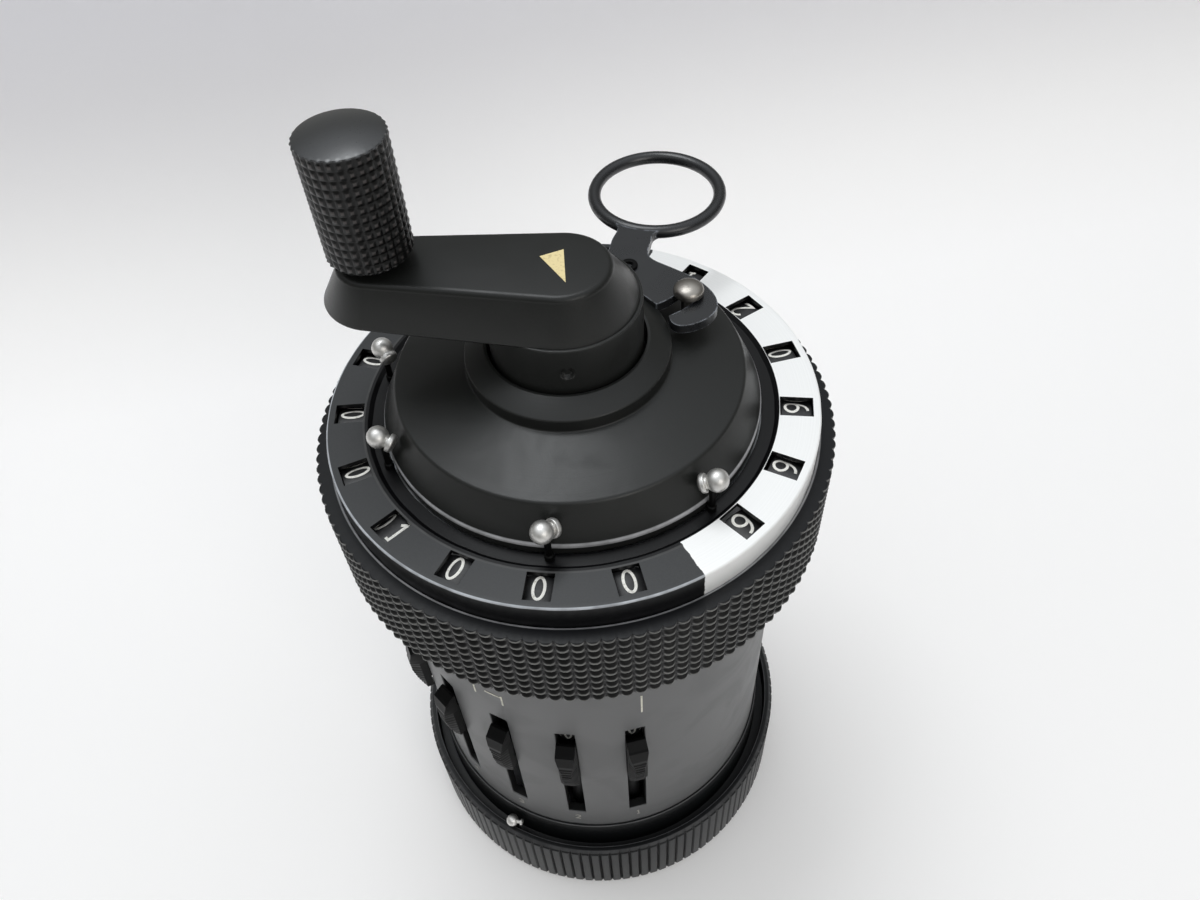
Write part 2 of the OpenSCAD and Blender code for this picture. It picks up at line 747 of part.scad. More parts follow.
module lever_outline() {
    difference() {
        union() {
            translate(pivot) circle(r = 2.6);
            polygon([[6.1, 16.6], [5.8, 16], [4.75, 12.9], [5.2, 9], [8.5, 4.6], [10.1, 1.9],
                     [10.2, 1.1], [10.8, 0.75], [12.2, 0.9], [13.8, 1.8], [14.5, 2.5], [14.8, 3.3],
                     [14.75, 4.3], [14.5, 5.2], [13.85, 6.5], [13.4, 7.2], [12.7, 7.9],
                     [11.7, 8.7], [10.7, 9.6], [9.75, 10.4], [9, 11.1], [8.7, 12.1], [9.4, 14.7],
                     [9.7, 16.2]]);
        }
        // Arc of the latch post as the lever folds away
        translate(pivot) difference() {
            circle(r = post_reach + post_r + clear);
            circle(r = post_reach - post_r - clear);
            rotate(atan2(post[1] - pivot[1], post[0] - pivot[0])) translate([-20, 0]) square([40, 20]);
        }
        translate(post) circle(r = post_r + clear);
        for (f = [0:11:lever_fold]) translate(pivot) rotate(-f) translate(-pivot)
            circle(r = collar_clear);
        translate(pivot) circle(r = pivot_r + run);
    }
}

module ring_lever() {
    color(black) {
        translate([0, 0, lever_z[0]]) linear_extrude(lever_z[1] - lever_z[0]) lever_outline();
        translate([finger[0], finger[1], (lever_z[0] + lever_z[1]) / 2]) rotate_extrude()
            translate([finger_r, 0]) circle(r = finger_wire, $fn = 24);
    }
}

module lever_studs() {
    head_z = lever_z[1] + clear;
    head_t = 0.5;
    dome_r = 2.15;
    color(steel) translate([pivot[0], pivot[1], 0]) {
        rod(pivot_r, pivot_seat_z, lever_z[1] + 0.2);
        rod(pivot_r + 0.4, lever_z[1] + run, lever_z[1] + run + head_t);
    }
    color(silver) translate([post[0], post[1], 0]) {
        rod(post_r, post_seat_z, head_z + 0.1);
        rod(post_head_r, head_z, head_z + head_t);
        translate([0, 0, head_z + head_t - 0.1]) intersection() {
            translate([0, 0, 0.75 - dome_r]) sphere(r = dome_r);
            cylinder(r = post_head_r, h = 2);
        }
    }
}

// A side arm that leans from a marker's bead: along the groove, inwards and up
module lean_to(lean, side) {
    reach = norm(lean);
    rotate([0, 0, atan2(lean[1], side * lean[0])]) rotate([0, acos(lean[2] / reach), 0])
        children();
}

// A bead on a pin that runs in the groove, with a second collar beside the bead
module decimal_marker(i) {
    bead_z = plate_top + marker_rise;
    reach = norm(marker_lean);
    color(silver) at_azimuth(marker_azimuths[i - 1]) {
        at_front(marker_ring, 0) {
            rod(0.5, flange_top + run, flange_top + 0.66);
            rod(0.35, flange_top + 0.4, bead_z - 0.05);
        }
        at_front(marker_ring, bead_z) {
            sphere(r = marker_ball);
            lean_to(marker_lean, marker_sides[i - 1]) rotate_extrude($fn = 48) polygon([
                [0, 0], [0.6, 0], [0.6, reach - 0.35], [0.95, reach - 0.15], [0.95, reach + 0.2],
                [0.6, reach + 0.42], [0, reach + 0.42]]);
        }
    }
}

module base_marker() {
    foot = (groove_in + groove_out) / 2;
    foot_r = (groove_out - groove_in) / 2 - 0.175;
    lean = 8;
    stem_l = groove_depth + base_marker_rise;
    reach = norm(base_marker_lean);
    color(silver) at_azimuth(base_marker_azimuth) {
        at_front(foot, 0) rod(foot_r, groove_floor + run, groove_floor + 0.86);
        at_front(foot, groove_floor + 0.5) rotate([lean, 0, 0]) cylinder(r = 0.32, h = stem_l - 0.4);
        at_front(foot + 0.45, base_h + base_marker_rise) {
            sphere(r = base_marker_ball);
            lean_to(base_marker_lean, 1) {
                cylinder(r = 0.25, h = reach);
                translate([0, 0, reach]) sphere(r = 0.42);
            }
        }
    }
}

base_cap();
base_screws();
casing();
lower_frame();
upper_plate();
neck_tube();
transmission_shafts();
reversing_lever();
for (i = [1:slider_count]) {
    slider(i);
    setting_roll(i);
}
for (i = [1:result_count]) {
    number_dial(azimuth_of(i - 1));
}
for (i = [1:counter_count]) {
    number_dial(counter_azimuth(i - 1));
}
tens_bell();
main_shaft();
stepped_drum();
crank_arm();
crank_mark();
crank_knob();
knob_spindle();
carriage_spring();
carriage_ring();
numeral_plate();
dial_carrier();
clearing_cap();
ring_lever();
lever_studs();
for (i = [1:len(marker_azimuths)]) {
    decimal_marker(i);
}
base_marker();
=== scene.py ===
import json
import math

import bmesh
import bpy
from mathutils import Matrix, Vector


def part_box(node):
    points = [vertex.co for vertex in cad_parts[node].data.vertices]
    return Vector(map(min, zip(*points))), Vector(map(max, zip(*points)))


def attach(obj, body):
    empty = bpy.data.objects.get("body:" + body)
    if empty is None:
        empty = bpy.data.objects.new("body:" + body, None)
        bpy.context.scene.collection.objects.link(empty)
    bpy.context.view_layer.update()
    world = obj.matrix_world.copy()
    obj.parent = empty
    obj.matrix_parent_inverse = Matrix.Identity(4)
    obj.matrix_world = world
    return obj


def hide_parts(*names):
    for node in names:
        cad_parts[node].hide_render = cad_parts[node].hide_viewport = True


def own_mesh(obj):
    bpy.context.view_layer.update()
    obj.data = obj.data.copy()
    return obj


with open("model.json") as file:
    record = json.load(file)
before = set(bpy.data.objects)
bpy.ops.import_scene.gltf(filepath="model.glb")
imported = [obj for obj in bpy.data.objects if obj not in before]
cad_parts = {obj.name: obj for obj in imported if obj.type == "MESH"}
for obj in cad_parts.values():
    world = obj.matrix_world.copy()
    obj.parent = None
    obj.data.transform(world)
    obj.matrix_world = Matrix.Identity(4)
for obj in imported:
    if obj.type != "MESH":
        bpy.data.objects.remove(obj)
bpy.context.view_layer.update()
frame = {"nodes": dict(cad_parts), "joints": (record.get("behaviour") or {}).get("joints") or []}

mm = 0.001
nodes = frame["nodes"]
print("calculator: frame loaded,", len(nodes), "nodes")


# Measures taken from the frame, all in millimetres
def boxOf(node):
    low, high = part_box(node)
    return low / mm, high / mm


def jointAzimuth(name):
    axis = next(joint["axis"] for joint in frame["joints"] if joint["name"] == name)
    return math.atan2(axis[0], -axis[1])


def rollAzimuth(i):
    low, high = boxOf(f"setting_roll_{i}")
    middle = (low + high) / 2
    return math.atan2(middle.x, -middle.y)


def wave(t):
    # 0 at whole numbers, 1 half way between them
    return 1 - abs(2 * (t % 1) - 1)


def evenly(start, end, steps):
    # Values at equal steps, both ends included
    return [start + (end - start) * k / steps for k in range(steps + 1)]


def facing(azimuth):
    # Directions outward and sideways at an azimuth, which is 0 at the front
    return (Vector((math.sin(azimuth), -math.cos(azimuth), 0)),
            Vector((math.cos(azimuth), math.sin(azimuth), 0)))


plateWidth = 4.13
plateR, plateTop = boxOf("numeral_plate")[1].x, boxOf("numeral_plate")[1].z
plateBore = plateR - plateWidth


# Mesh helpers
def addMesh(name, form, finish, body, centre=(0, 0, 0), sharp=35):
    points, faces = form
    mesh = bpy.data.meshes.new(name)
    mesh.from_pydata([[c * mm for c in p] for p in points], [], faces)
    work = bmesh.new()
    work.from_mesh(mesh)
    bmesh.ops.recalc_face_normals(work, faces=work.faces)
    work.to_mesh(mesh)
    work.free()
    mesh.polygons.foreach_set("use_smooth", [True] * len(mesh.polygons))
    mesh.set_sharp_from_angle(angle=math.radians(sharp))
    mesh.materials.append(finish)
    piece = bpy.data.objects.new(name, mesh)
    piece.location = Vector(centre) * mm
    bpy.context.scene.collection.objects.link(piece)
    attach(piece, body)
    return piece


def rounded(corners, steps=5, loop=False):
    # Corners are (r, z) or (r, z, radius), and a radius turns the corner into a bend
    points = []
    count = len(corners)
    for i, corner in enumerate(corners):
        here = Vector(corner[:2])
        if len(corner) < 3 or (not loop and i in (0, count - 1)):
            points.append(tuple(here))
            continue
        before = Vector(corners[i - 1][:2]) - here
        after = Vector(corners[(i + 1) % count][:2]) - here
        reach = corner[2] / math.tan(before.angle(after) / 2)
        reach = min(reach, 0.49 * before.length, 0.49 * after.length)
        start = here + before.normalized() * reach
        end = here + after.normalized() * reach
        for k in range(steps + 1):
            t = k / steps
            points.append(tuple((1 - t) ** 2 * start + 2 * t * (1 - t) * here + t * t * end))
    return points


def turned(profile, segments=192, relief=None, loop=False):
    # A body turned about Z. relief(angle, r, z) may cut into its radius
    points, rows = [], []
    for r, z in profile:
        if r < 1e-6:
            rows.append([len(points)] * segments)
            points.append((0, 0, z))
            continue
        rows.append(list(range(len(points), len(points) + segments)))
        for j in range(segments):
            angle = 2 * math.pi * j / segments
            reach = relief(angle, r, z) if relief else r
            points.append((reach * math.sin(angle), -reach * math.cos(angle), z))
    faces = []
    for low, high in zip(rows, rows[1:] + rows[:1] if loop else rows[1:]):
        for j in range(segments):
            k = (j + 1) % segments
            faces.append(list(dict.fromkeys((low[j], low[k], high[k], high[j]))))
    return points, faces


def stack(outlines):
    # A closed body through outlines of equal length, with flat ends
    count = len(outlines[0])
    points = [p for outline in outlines for p in outline]
    faces = [list(range(count))[::-1], list(range(len(points) - count, len(points)))]
    for i in range(len(outlines) - 1):
        for j in range(count):
            k = (j + 1) % count
            faces.append([i * count + j, i * count + k, (i + 1) * count + k, (i + 1) * count + j])
    return points, faces


def join(parts):
    points, faces = [], []
    for more, sides in parts:
        faces += [[len(points) + i for i in side] for side in sides]
        points += more
    return points, faces


def columnsRound(openings, step):
    # Columns once round the axis, with one at each side of every opening (azimuth, half width)
    sides = []
    for k, (azimuth, half) in enumerate(openings):
        sides += [(azimuth, -half, k), (azimuth, half, None)]
    sides.sort(key=lambda side: (side[0], side[1]))
    columns = []
    for here, after in zip(sides, sides[1:] + sides[:1]):
        gap = (after[0] - here[0]) % (2 * math.pi)
        count = 1 if here[2] is not None else max(1, round(gap / math.radians(step)))
        columns += [(here, after, m / count) for m in range(count)]
    return columns


def openingAt(columns, j):
    # The number of the opening in column j, or None beside the openings
    return columns[j][0][2]


def columnAzimuth(column, r):
    here, after, share = column
    first = here[0] + math.asin(here[1] / r)
    last = after[0] + math.asin(after[1] / r)
    return first + ((last - first) % (2 * math.pi)) * share


def layer(profile, columns):
    rows = []
    for r, z in profile:
        turns = [columnAzimuth(column, r) for column in columns]
        rows.append([(r * math.sin(t), -r * math.cos(t), z) for t in turns])
    return rows


def piercedShell(outer, inner, isOpen):
    # A shell between two layers of points, with walls round each cell that is left open
    rows, count = len(outer), len(outer[0])
    points = [p for row in outer for p in row] + [p for row in inner for p in row]
    under = rows * count

    def at(i, j):
        return i * count + j % count

    def isSolid(i, j):
        return 0 <= i < rows - 1 and not isOpen(i, j % count)

    faces = []
    for i in range(rows):
        for j in range(count):
            if isSolid(i, j):
                cell = [at(i, j), at(i, j + 1), at(i + 1, j + 1), at(i + 1, j)]
                faces += [cell, [k + under for k in reversed(cell)]]
            if isSolid(i, j) != isSolid(i - 1, j):
                faces.append([at(i, j), at(i, j + 1), at(i, j + 1) + under, at(i, j) + under])
            if i < rows - 1 and isSolid(i, j) != isSolid(i, j - 1):
                faces.append([at(i, j), at(i + 1, j), at(i + 1, j) + under, at(i, j) + under])
    return points, faces


def bevelEdges(piece, width, angle=30, segments=2):
    bevel = piece.modifiers.new("softEdges", "BEVEL")
    bevel.width = width * mm
    bevel.segments = segments
    bevel.limit_method = "ANGLE"
    bevel.angle_limit = math.radians(angle)
    bevel.harden_normals = True


def softEdges(node, width, weldWithin=0.002):
    # The imported mesh has split corners, so it is welded before its edges are softened
    weld = nodes[node].modifiers.new("weld", "WELD")
    weld.merge_threshold = weldWithin * mm
    bevelEdges(nodes[node], width)


def dress(node, finish):
    piece = nodes[node]
    piece.data.materials.clear()
    piece.data.materials.append(finish)


# Shader groups
def newGroup(name, inputs, outputs):
    group = bpy.data.node_groups.new(name, "ShaderNodeTree")
    for label, value in inputs.items():
        socket = group.interface.new_socket(label, in_out="INPUT", socket_type="NodeSocketFloat")
        socket.default_value = value
    for label in outputs:
        group.interface.new_socket(label, in_out="OUTPUT", socket_type="NodeSocketFloat")
    return group, group.nodes.new("NodeGroupInput"), group.nodes.new("NodeGroupOutput")


def addNode(tree, kind, links=None, **values):
    # links gives a socket's value or the output that feeds it
    node = tree.nodes.new("ShaderNode" + kind)
    for name, value in values.items():
        setattr(node, name, value)
    for socket, source in (links or {}).items():
        if isinstance(source, bpy.types.NodeSocket):
            tree.links.new(source, node.inputs[socket])
        else:
            node.inputs[socket].default_value = source
    return node


def maths(tree, operation, *sources):
    links = dict(enumerate(sources))
    return addNode(tree, "Math", links, operation=operation).outputs[0]


def spread(tree, source, low, high, start=0.0, end=1.0):
    links = {"Value": source, "From Min": low, "From Max": high, "To Min": start, "To Max": end}
    return addNode(tree, "MapRange", links, interpolation_type="SMOOTHSTEP").outputs["Result"]


def placeInMm(tree):
    coordinates = addNode(tree, "TexCoord").outputs["Object"]
    scaled = addNode(tree, "VectorMath", {0: coordinates, "Scale": 1 / mm}, operation="SCALE")
    return scaled.outputs["Vector"]


def placeParts(tree):
    # The x, y and z of a point in its piece, in millimetres
    return addNode(tree, "SeparateXYZ", {0: placeInMm(tree)}).outputs


def hypotenuse(tree, a, b):
    squares = [maths(tree, "MULTIPLY", side, side) for side in (a, b)]
    return maths(tree, "SQRT", maths(tree, "ADD", *squares))


def axisDistance(tree):
    # Distance from the piece's own upright axis, in millimetres
    parts = placeParts(tree)
    return hypotenuse(tree, parts[0], parts[1])


def azimuthAt(tree, parts):
    return maths(tree, "ARCTAN2", parts[0], maths(tree, "MULTIPLY", parts[1], -1.0))


def noise(tree, scale, detail=3.0, rough=0.55, twist=0.0):
    links = {"Vector": placeInMm(tree), "Scale": scale, "Detail": detail, "Roughness": rough,
             "Distortion": twist}
    return addNode(tree, "TexNoise", links).outputs["Fac"]


def makeFineGrain():
    # Fine speckle of a sprayed or blasted surface
    group, start, end = newGroup("fineGrain", {"Grains per mm": 5.0, "Roughness": 0.4, "Spread": 0.1},
                                 ["Tone", "Roughness", "Height"])
    grain = noise(group, start.outputs["Grains per mm"], 4.0)
    centred = maths(group, "SUBTRACT", grain, 0.5)
    scaled = maths(group, "MULTIPLY", centred, start.outputs["Spread"])
    group.links.new(grain, end.inputs["Tone"])
    group.links.new(maths(group, "ADD", start.outputs["Roughness"], scaled), end.inputs["Roughness"])
    group.links.new(grain, end.inputs["Height"])
    return group


# The bend entry holds the cosines of the bend at which the paler edges, partly wear and partly painted
# highlight, begin and are full
effects = {"wearAndSheenBend": (0.985, 0.86), "wearAndSheenScale": 1.6, "wearAndSheenPatch": (0.35, 0.62), "ringTone": (0.3, 0.7),
           "smear": (0.42, 0.68), "smearTwist": 1.2, "rimEdge": (1.0, 0.55), "highlightPatchScale": 0.5,
           "rimHighlightPatches": (0.25, 0.7, 0.55, 1.0), "crestHighlightPatches": (0.3, 0.65, 0.6, 1.0)}


def makeEdgeWearAndSheen():
    # Brighter where the surface bends sharply, broken up by noise: partly edge wear, partly painted highlight
    group, start, end = newGroup("edgeWearAndSheen", {"Width mm": 0.12, "Strength": 1.0}, ["Mask"])
    width = maths(group, "MULTIPLY", start.outputs["Width mm"], mm)
    bevel = addNode(group, "Bevel", {"Radius": width}, samples=4)
    normal = addNode(group, "NewGeometry").outputs["Normal"]
    both = addNode(group, "VectorMath", {0: bevel.outputs[0], 1: normal}, operation="DOT_PRODUCT")
    edge = spread(group, both.outputs["Value"], *effects["wearAndSheenBend"])
    broken = spread(group, noise(group, effects["wearAndSheenScale"]), *effects["wearAndSheenPatch"])
    mask = maths(group, "MULTIPLY", edge, maths(group, "MULTIPLY", broken, start.outputs["Strength"]))
    group.links.new(mask, end.inputs["Mask"])
    return group


def makeTurnedRings():
    # Fine concentric tool marks round the piece's axis
    group, start, end = newGroup("turnedRings", {"Lines per mm": 6.0}, ["Tone", "Height"])
    radius = maths(group, "MULTIPLY", axisDistance(group), start.outputs["Lines per mm"])
    lines = addNode(group, "TexNoise", {"W": radius, "Scale": 1.0, "Detail": 3.0},
                    noise_dimensions="1D").outputs["Fac"]
    group.links.new(lines, end.inputs["Height"])
    group.links.new(spread(group, lines, *effects["ringTone"]), end.inputs["Tone"])
    return group


def makeHandMarks():
    # Broad faint smears left by handling
    group, start, end = newGroup("handMarks", {"Size mm": 6.0}, ["Mask"])
    scale = maths(group, "DIVIDE", 1.0, start.outputs["Size mm"])
    smear = noise(group, scale, 4.0, 0.5, effects["smearTwist"])
    group.links.new(spread(group, smear, *effects["smear"]), end.inputs["Mask"])
    return group


def makeKnurlPhase():
    # Row and Column are 0 at each whole step and 1 half way to the next
    group, start, end = newGroup("knurlPhase", {"Columns": 60.0, "Row start": 0.0, "Row mm": 1.0},
                                 ["Row", "Column"])
    parts = placeParts(group)
    above = maths(group, "SUBTRACT", parts[2], start.outputs["Row start"])
    row = maths(group, "DIVIDE", above, start.outputs["Row mm"])
    turns = maths(group, "ADD", maths(group, "DIVIDE", azimuthAt(group, parts), 2 * math.pi), 1.0)
    column = maths(group, "MULTIPLY", turns, start.outputs["Columns"])
    for phase, label in ((row, "Row"), (column, "Column")):
        folded = maths(group, "PINGPONG", phase, 0.5)
        group.links.new(maths(group, "MULTIPLY", folded, 2.0), end.inputs[label])
    return group


def makeHighlightLine():
    # A thin painted highlight line where a turned piece has its edge at this radius and height, broken into
    # patches by noise
    group, start, end = newGroup("highlightLine", {"Radius": 1.0, "Height": 0.0, "Width": 0.15}, ["Mask"])
    across = maths(group, "SUBTRACT", axisDistance(group), start.outputs["Radius"])
    along = maths(group, "SUBTRACT", placeParts(group)[2], start.outputs["Height"])
    share = maths(group, "DIVIDE", hypotenuse(group, across, along), start.outputs["Width"])
    highlightPatches = spread(group, noise(group, effects["highlightPatchScale"]), *effects["rimHighlightPatches"])
    line = spread(group, share, *effects["rimEdge"])
    group.links.new(maths(group, "MULTIPLY", line, highlightPatches), end.inputs["Mask"])
    return group


fineGrain = makeFineGrain()
edgeWearAndSheen = makeEdgeWearAndSheen()
turnedRings = makeTurnedRings()
handMarks = makeHandMarks()
knurlPhase = makeKnurlPhase()
highlightLine = makeHighlightLine()


def useGroup(tree, group, **values):
    node = tree.nodes.new("ShaderNodeGroup")
    node.node_tree = group
    for label, value in values.items():
        node.inputs[label.replace("_", " ")].default_value = value
    return node.outputs


def newFinish(name, **uniform):
    finish = bpy.data.materials.new(name)
    finish.use_nodes = True
    tree = finish.node_tree
    shader = tree.nodes["Principled BSDF"]
    for socket, value in uniform.items():
        shader.inputs[socket.replace("_", " ")].default_value = value
    return finish, tree, shader


def blendTones(tree, mask, first, second):
    # A tone is a colour or the output of another node
    node = addNode(tree, "Mix", {"Factor": mask}, data_type="RGBA")
    for socket, tone in ((node.inputs[6], first), (node.inputs[7], second)):
        if isinstance(tone, bpy.types.NodeSocket):
            tree.links.new(tone, socket)
        else:
            socket.default_value = (*tone, 1)
    return node.outputs[2]


def paintRimHighlights(tree, tone, rimHighlights):
    # Painted highlight lines on turned edges, each given by its radius, height, width and tone
    for radius, height, width, pale in rimHighlights:
        mask = useGroup(tree, highlightLine, Radius=radius, Height=height, Width=width)["Mask"]
        tone = blendTones(tree, mask, tone, (pale, pale, pale * 1.03))
    return tone


def rimAt(r, z, rim):
    # A painted highlight line, set in and down from a corner
    inset, fall, width, tone = rim
    return (r - inset, z - fall, width, tone)


def feed(tree, shader, **sources):
    for socket, source in sources.items():
        tree.links.new(source, shader.inputs[socket.replace("_", " ")])


def bump(tree, shader, height, distance):
    node = addNode(tree, "Bump", {"Height": height, "Distance": distance * mm, "Strength": 1.0})
    tree.links.new(node.outputs[0], shader.inputs["Normal"])


# Finishes
def satinBlack(name, look):
    finish, tree, shader = newFinish(name, Specular_IOR_Level=look["specular"])
    grain = useGroup(tree, fineGrain, Grains_per_mm=look["grains"], Roughness=look["roughness"], Spread=0.16)
    marks = useGroup(tree, handMarks, Size_mm=7.0)["Mask"]
    # Sharp edges blend to a paler tone, partly wear and partly painted highlight, and the rim entries add
    # painted highlight lines
    wearAndSheen = useGroup(tree, edgeWearAndSheen, Width_mm=look["wearAndSheenWidth"], Strength=look["wearAndSheen"])["Mask"]
    body = blendTones(tree, grain["Tone"], look["dark"], look["light"])
    wornAndSheenTone = paintRimHighlights(tree, blendTones(tree, wearAndSheen, body, look["wornAndSheenTone"]), look.get("rimHighlights", ()))
    roughness = maths(tree, "ADD", grain["Roughness"], maths(tree, "MULTIPLY", marks, look["smear"]))
    feed(tree, shader, Base_Color=wornAndSheenTone, Roughness=roughness)
    height = grain["Height"]
    if "rings" in look:
        rings = useGroup(tree, turnedRings, Lines_per_mm=look["rings"])
        height = maths(tree, "ADD", height, rings["Height"])
    bump(tree, shader, height, look["bump"])
    return finish


blackLook = {"dark": (0.0085, 0.009, 0.0085), "light": (0.014, 0.0148, 0.0138), "wornAndSheenTone": (0.06, 0.06, 0.058),
             "grains": 7.0, "roughness": 0.33, "smear": 0.07, "bump": 0.004, "wearAndSheen": 0.5, "wearAndSheenWidth": 0.1,
             "specular": 0.4}
# On the arm and the lever the paler edge tone is mostly a painted highlight, with some wear
armLook = {**blackLook, "wornAndSheenTone": (0.16, 0.16, 0.155), "wearAndSheen": 0.8, "specular": 0.34}
# The cap's rim entry paints a highlight line along its lower edge
capLook = {**blackLook, "rings": 5.0, "bump": 0.003, "roughness": 0.36, "rimHighlights": [(18.74, 73.8, 0.32, 0.5)]}
gripLook = {**blackLook, "dark": (0.002, 0.002, 0.002), "light": (0.004, 0.004, 0.004), "specular": 0.09,
            "wearAndSheen": 0.12}
leverLook = {**blackLook, "dark": (0.009, 0.0095, 0.011), "light": (0.015, 0.016, 0.018),
             "wornAndSheenTone": (0.3, 0.32, 0.36), "wearAndSheen": 1.0, "wearAndSheenWidth": 0.22, "roughness": 0.27, "specular": 0.6}
armBlack = satinBlack("armBlack", armLook)
capBlack = satinBlack("capBlack", capLook)
gripBlack = satinBlack("gripBlack", gripLook)
leverBlack = satinBlack("leverBlack", leverLook)


def cellMask(tree, phase, labels, low, high):
    # A mask over part of each knurl cell; with two labels, the smaller value counts
    source = phase[labels[0]]
    for label in labels[1:]:
        source = maths(tree, "MINIMUM", source, phase[label])
    return spread(tree, source, low, high)


def knurledBlack(name, look, zone):
    # Near-black cuts between the cells are painted shade, and the paler crests are a painted highlight,
    # broken into patches by noise
    finish, tree, shader = newFinish(name, Specular_IOR_Level=look["specular"])
    grain = useGroup(tree, fineGrain, Grains_per_mm=6.0, Roughness=look["roughness"], Spread=0.14)
    phase = useGroup(tree, knurlPhase, Columns=zone["columns"], Row_start=zone["start"], Row_mm=zone["row"])
    floor = zone["radius"] - look["cut"]
    outside = spread(tree, axisDistance(tree), floor - 0.06, floor)
    below = spread(tree, placeParts(tree)[2], zone["top"], zone["top"] - 0.08)
    cut = maths(tree, "MULTIPLY", outside, below)
    highlightPatches = spread(tree, noise(tree, effects["highlightPatchScale"]), *effects["crestHighlightPatches"])
    crest = maths(tree, "MULTIPLY", cellMask(tree, phase, *look["crestMask"]), highlightPatches)
    cells = blendTones(tree, crest, look["groove"], look["crest"])
    # The valleys between columns take a dark mid tone, a painted shade
    if "cusp" in look:
        cells = blendTones(tree, cellMask(tree, phase, *look["cuspMask"]), cells, look["cusp"])
    plain = paintRimHighlights(tree, blendTones(tree, grain["Tone"], look["dark"], look["light"]), zone["rimHighlights"])
    feed(tree, shader, Base_Color=blendTones(tree, cut, plain, cells), Roughness=grain["Roughness"])
    if "coat" in look:
        feed(tree, shader, Coat_Weight=spread(tree, cut, 1.0, 0.0, 0.0, look["coat"]))
        shader.inputs["Coat Roughness"].default_value = look["coatRoughness"]
    bump(tree, shader, grain["Height"], look["bump"])
    return finish


# In the plate's look the ledge tone is painted shade, and the rim and lip tones are painted highlight lines
plateLook = {"from": 26.0, "to": 156.0, "seam": 0.06, "jag": 0.7, "jags": 2.2, "ledgeR": 21.0, "blend": 0.04,
             "blackDark": (0.037, 0.038, 0.039), "blackLight": (0.054, 0.056, 0.058),
             "ledge": (0.0025, 0.0025, 0.003), "silver": (0.95, 0.95, 0.94), "silverDark": (0.92, 0.92, 0.91),
             "rimInset": 0.07, "rimWidth": 0.16, "rim": (0.5, 0.52, 0.55), "lipWidth": 0.14,
             "lip": (0.07, 0.07, 0.07), "grains": 7.0, "roughness": 0.36, "silverRough": 0.12,
             "silverMetal": 0.2, "rings": 7.0, "bump": 0.003, "specular": 0.25, "side": (0.42, 0.38),
             "bore": (0.02, 0.06), "upward": (0.3, 0.5), "level": (0.55, 0.8)}


def splitPlate():
    # Black over the result windows and silver over the counter windows
    look = plateLook
    finish, tree, shader = newFinish("numberPlate", Specular_IOR_Level=look["specular"])
    degrees = maths(tree, "MULTIPLY", azimuthAt(tree, placeParts(tree)), 180 / math.pi)
    jagged = maths(tree, "ADD", degrees, maths(tree, "MULTIPLY", noise(tree, look["jags"]), look["jag"]))
    middle, half = (look["from"] + look["to"]) / 2, (look["to"] - look["from"]) / 2
    fromMiddle = maths(tree, "ABSOLUTE", maths(tree, "SUBTRACT", jagged, middle))
    sector = spread(tree, fromMiddle, half + look["seam"], half - look["seam"])
    up = addNode(tree, "SeparateXYZ", {0: addNode(tree, "NewGeometry").outputs["True Normal"]}).outputs[2]
    reach = axisDistance(tree)
    outside = spread(tree, reach, *[plateR - inset for inset in look["side"]])
    inside = spread(tree, reach, *[plateBore + inset for inset in look["bore"]])
    upper = maths(tree, "MULTIPLY", spread(tree, up, *look["upward"]), inside)
    silver = maths(tree, "MULTIPLY", sector, maths(tree, "MAXIMUM", upper, outside))
    grain = useGroup(tree, fineGrain, Grains_per_mm=look["grains"], Roughness=look["roughness"], Spread=0.12)
    rings = useGroup(tree, turnedRings, Lines_per_mm=look["rings"])
    black = blendTones(tree, grain["Tone"], look["blackDark"], look["blackLight"])
    # Faces that don't face up, and the inner ledge under the cap, go near black: painted shade
    onRing = spread(tree, reach, look["ledgeR"] - look["blend"], look["ledgeR"] + look["blend"])
    face = maths(tree, "MULTIPLY", spread(tree, up, *look["level"]), onRing)
    black = blendTones(tree, face, look["ledge"], black)
    # A painted highlight line along the outer top edge
    rimR, rimZ = plateR - look["rimInset"], plateTop - look["rimInset"]
    rim = useGroup(tree, highlightLine, Radius=rimR, Height=rimZ, Width=look["rimWidth"])["Mask"]
    black = blendTones(tree, rim, black, look["rim"])
    # A paler painted highlight line at the inner lip
    lip = useGroup(tree, highlightLine, Radius=look["ledgeR"], Height=plateTop, Width=look["lipWidth"])["Mask"]
    black = blendTones(tree, lip, black, look["lip"])
    pale = blendTones(tree, rings["Tone"], look["silverDark"], look["silver"])
    rougher = maths(tree, "MULTIPLY", silver, look["silverRough"])
    feed(tree, shader, Base_Color=blendTones(tree, silver, black, pale),
         Metallic=maths(tree, "MULTIPLY", silver, look["silverMetal"]),
         Roughness=maths(tree, "ADD", grain["Roughness"], rougher))
    bump(tree, shader, grain["Height"], look["bump"])
    return finish


# The wall tone is painted shade inside the slots
greyLook = {"dark": (0.085, 0.086, 0.088), "light": (0.115, 0.116, 0.117), "wornAndSheenTone": (0.3, 0.3, 0.3),
            "wall": (0.006, 0.006, 0.006), "skinR": 22.36, "blend": 0.06, "grains": 9.0, "roughness": 0.4,
            "smear": 0.08, "bump": 0.004}


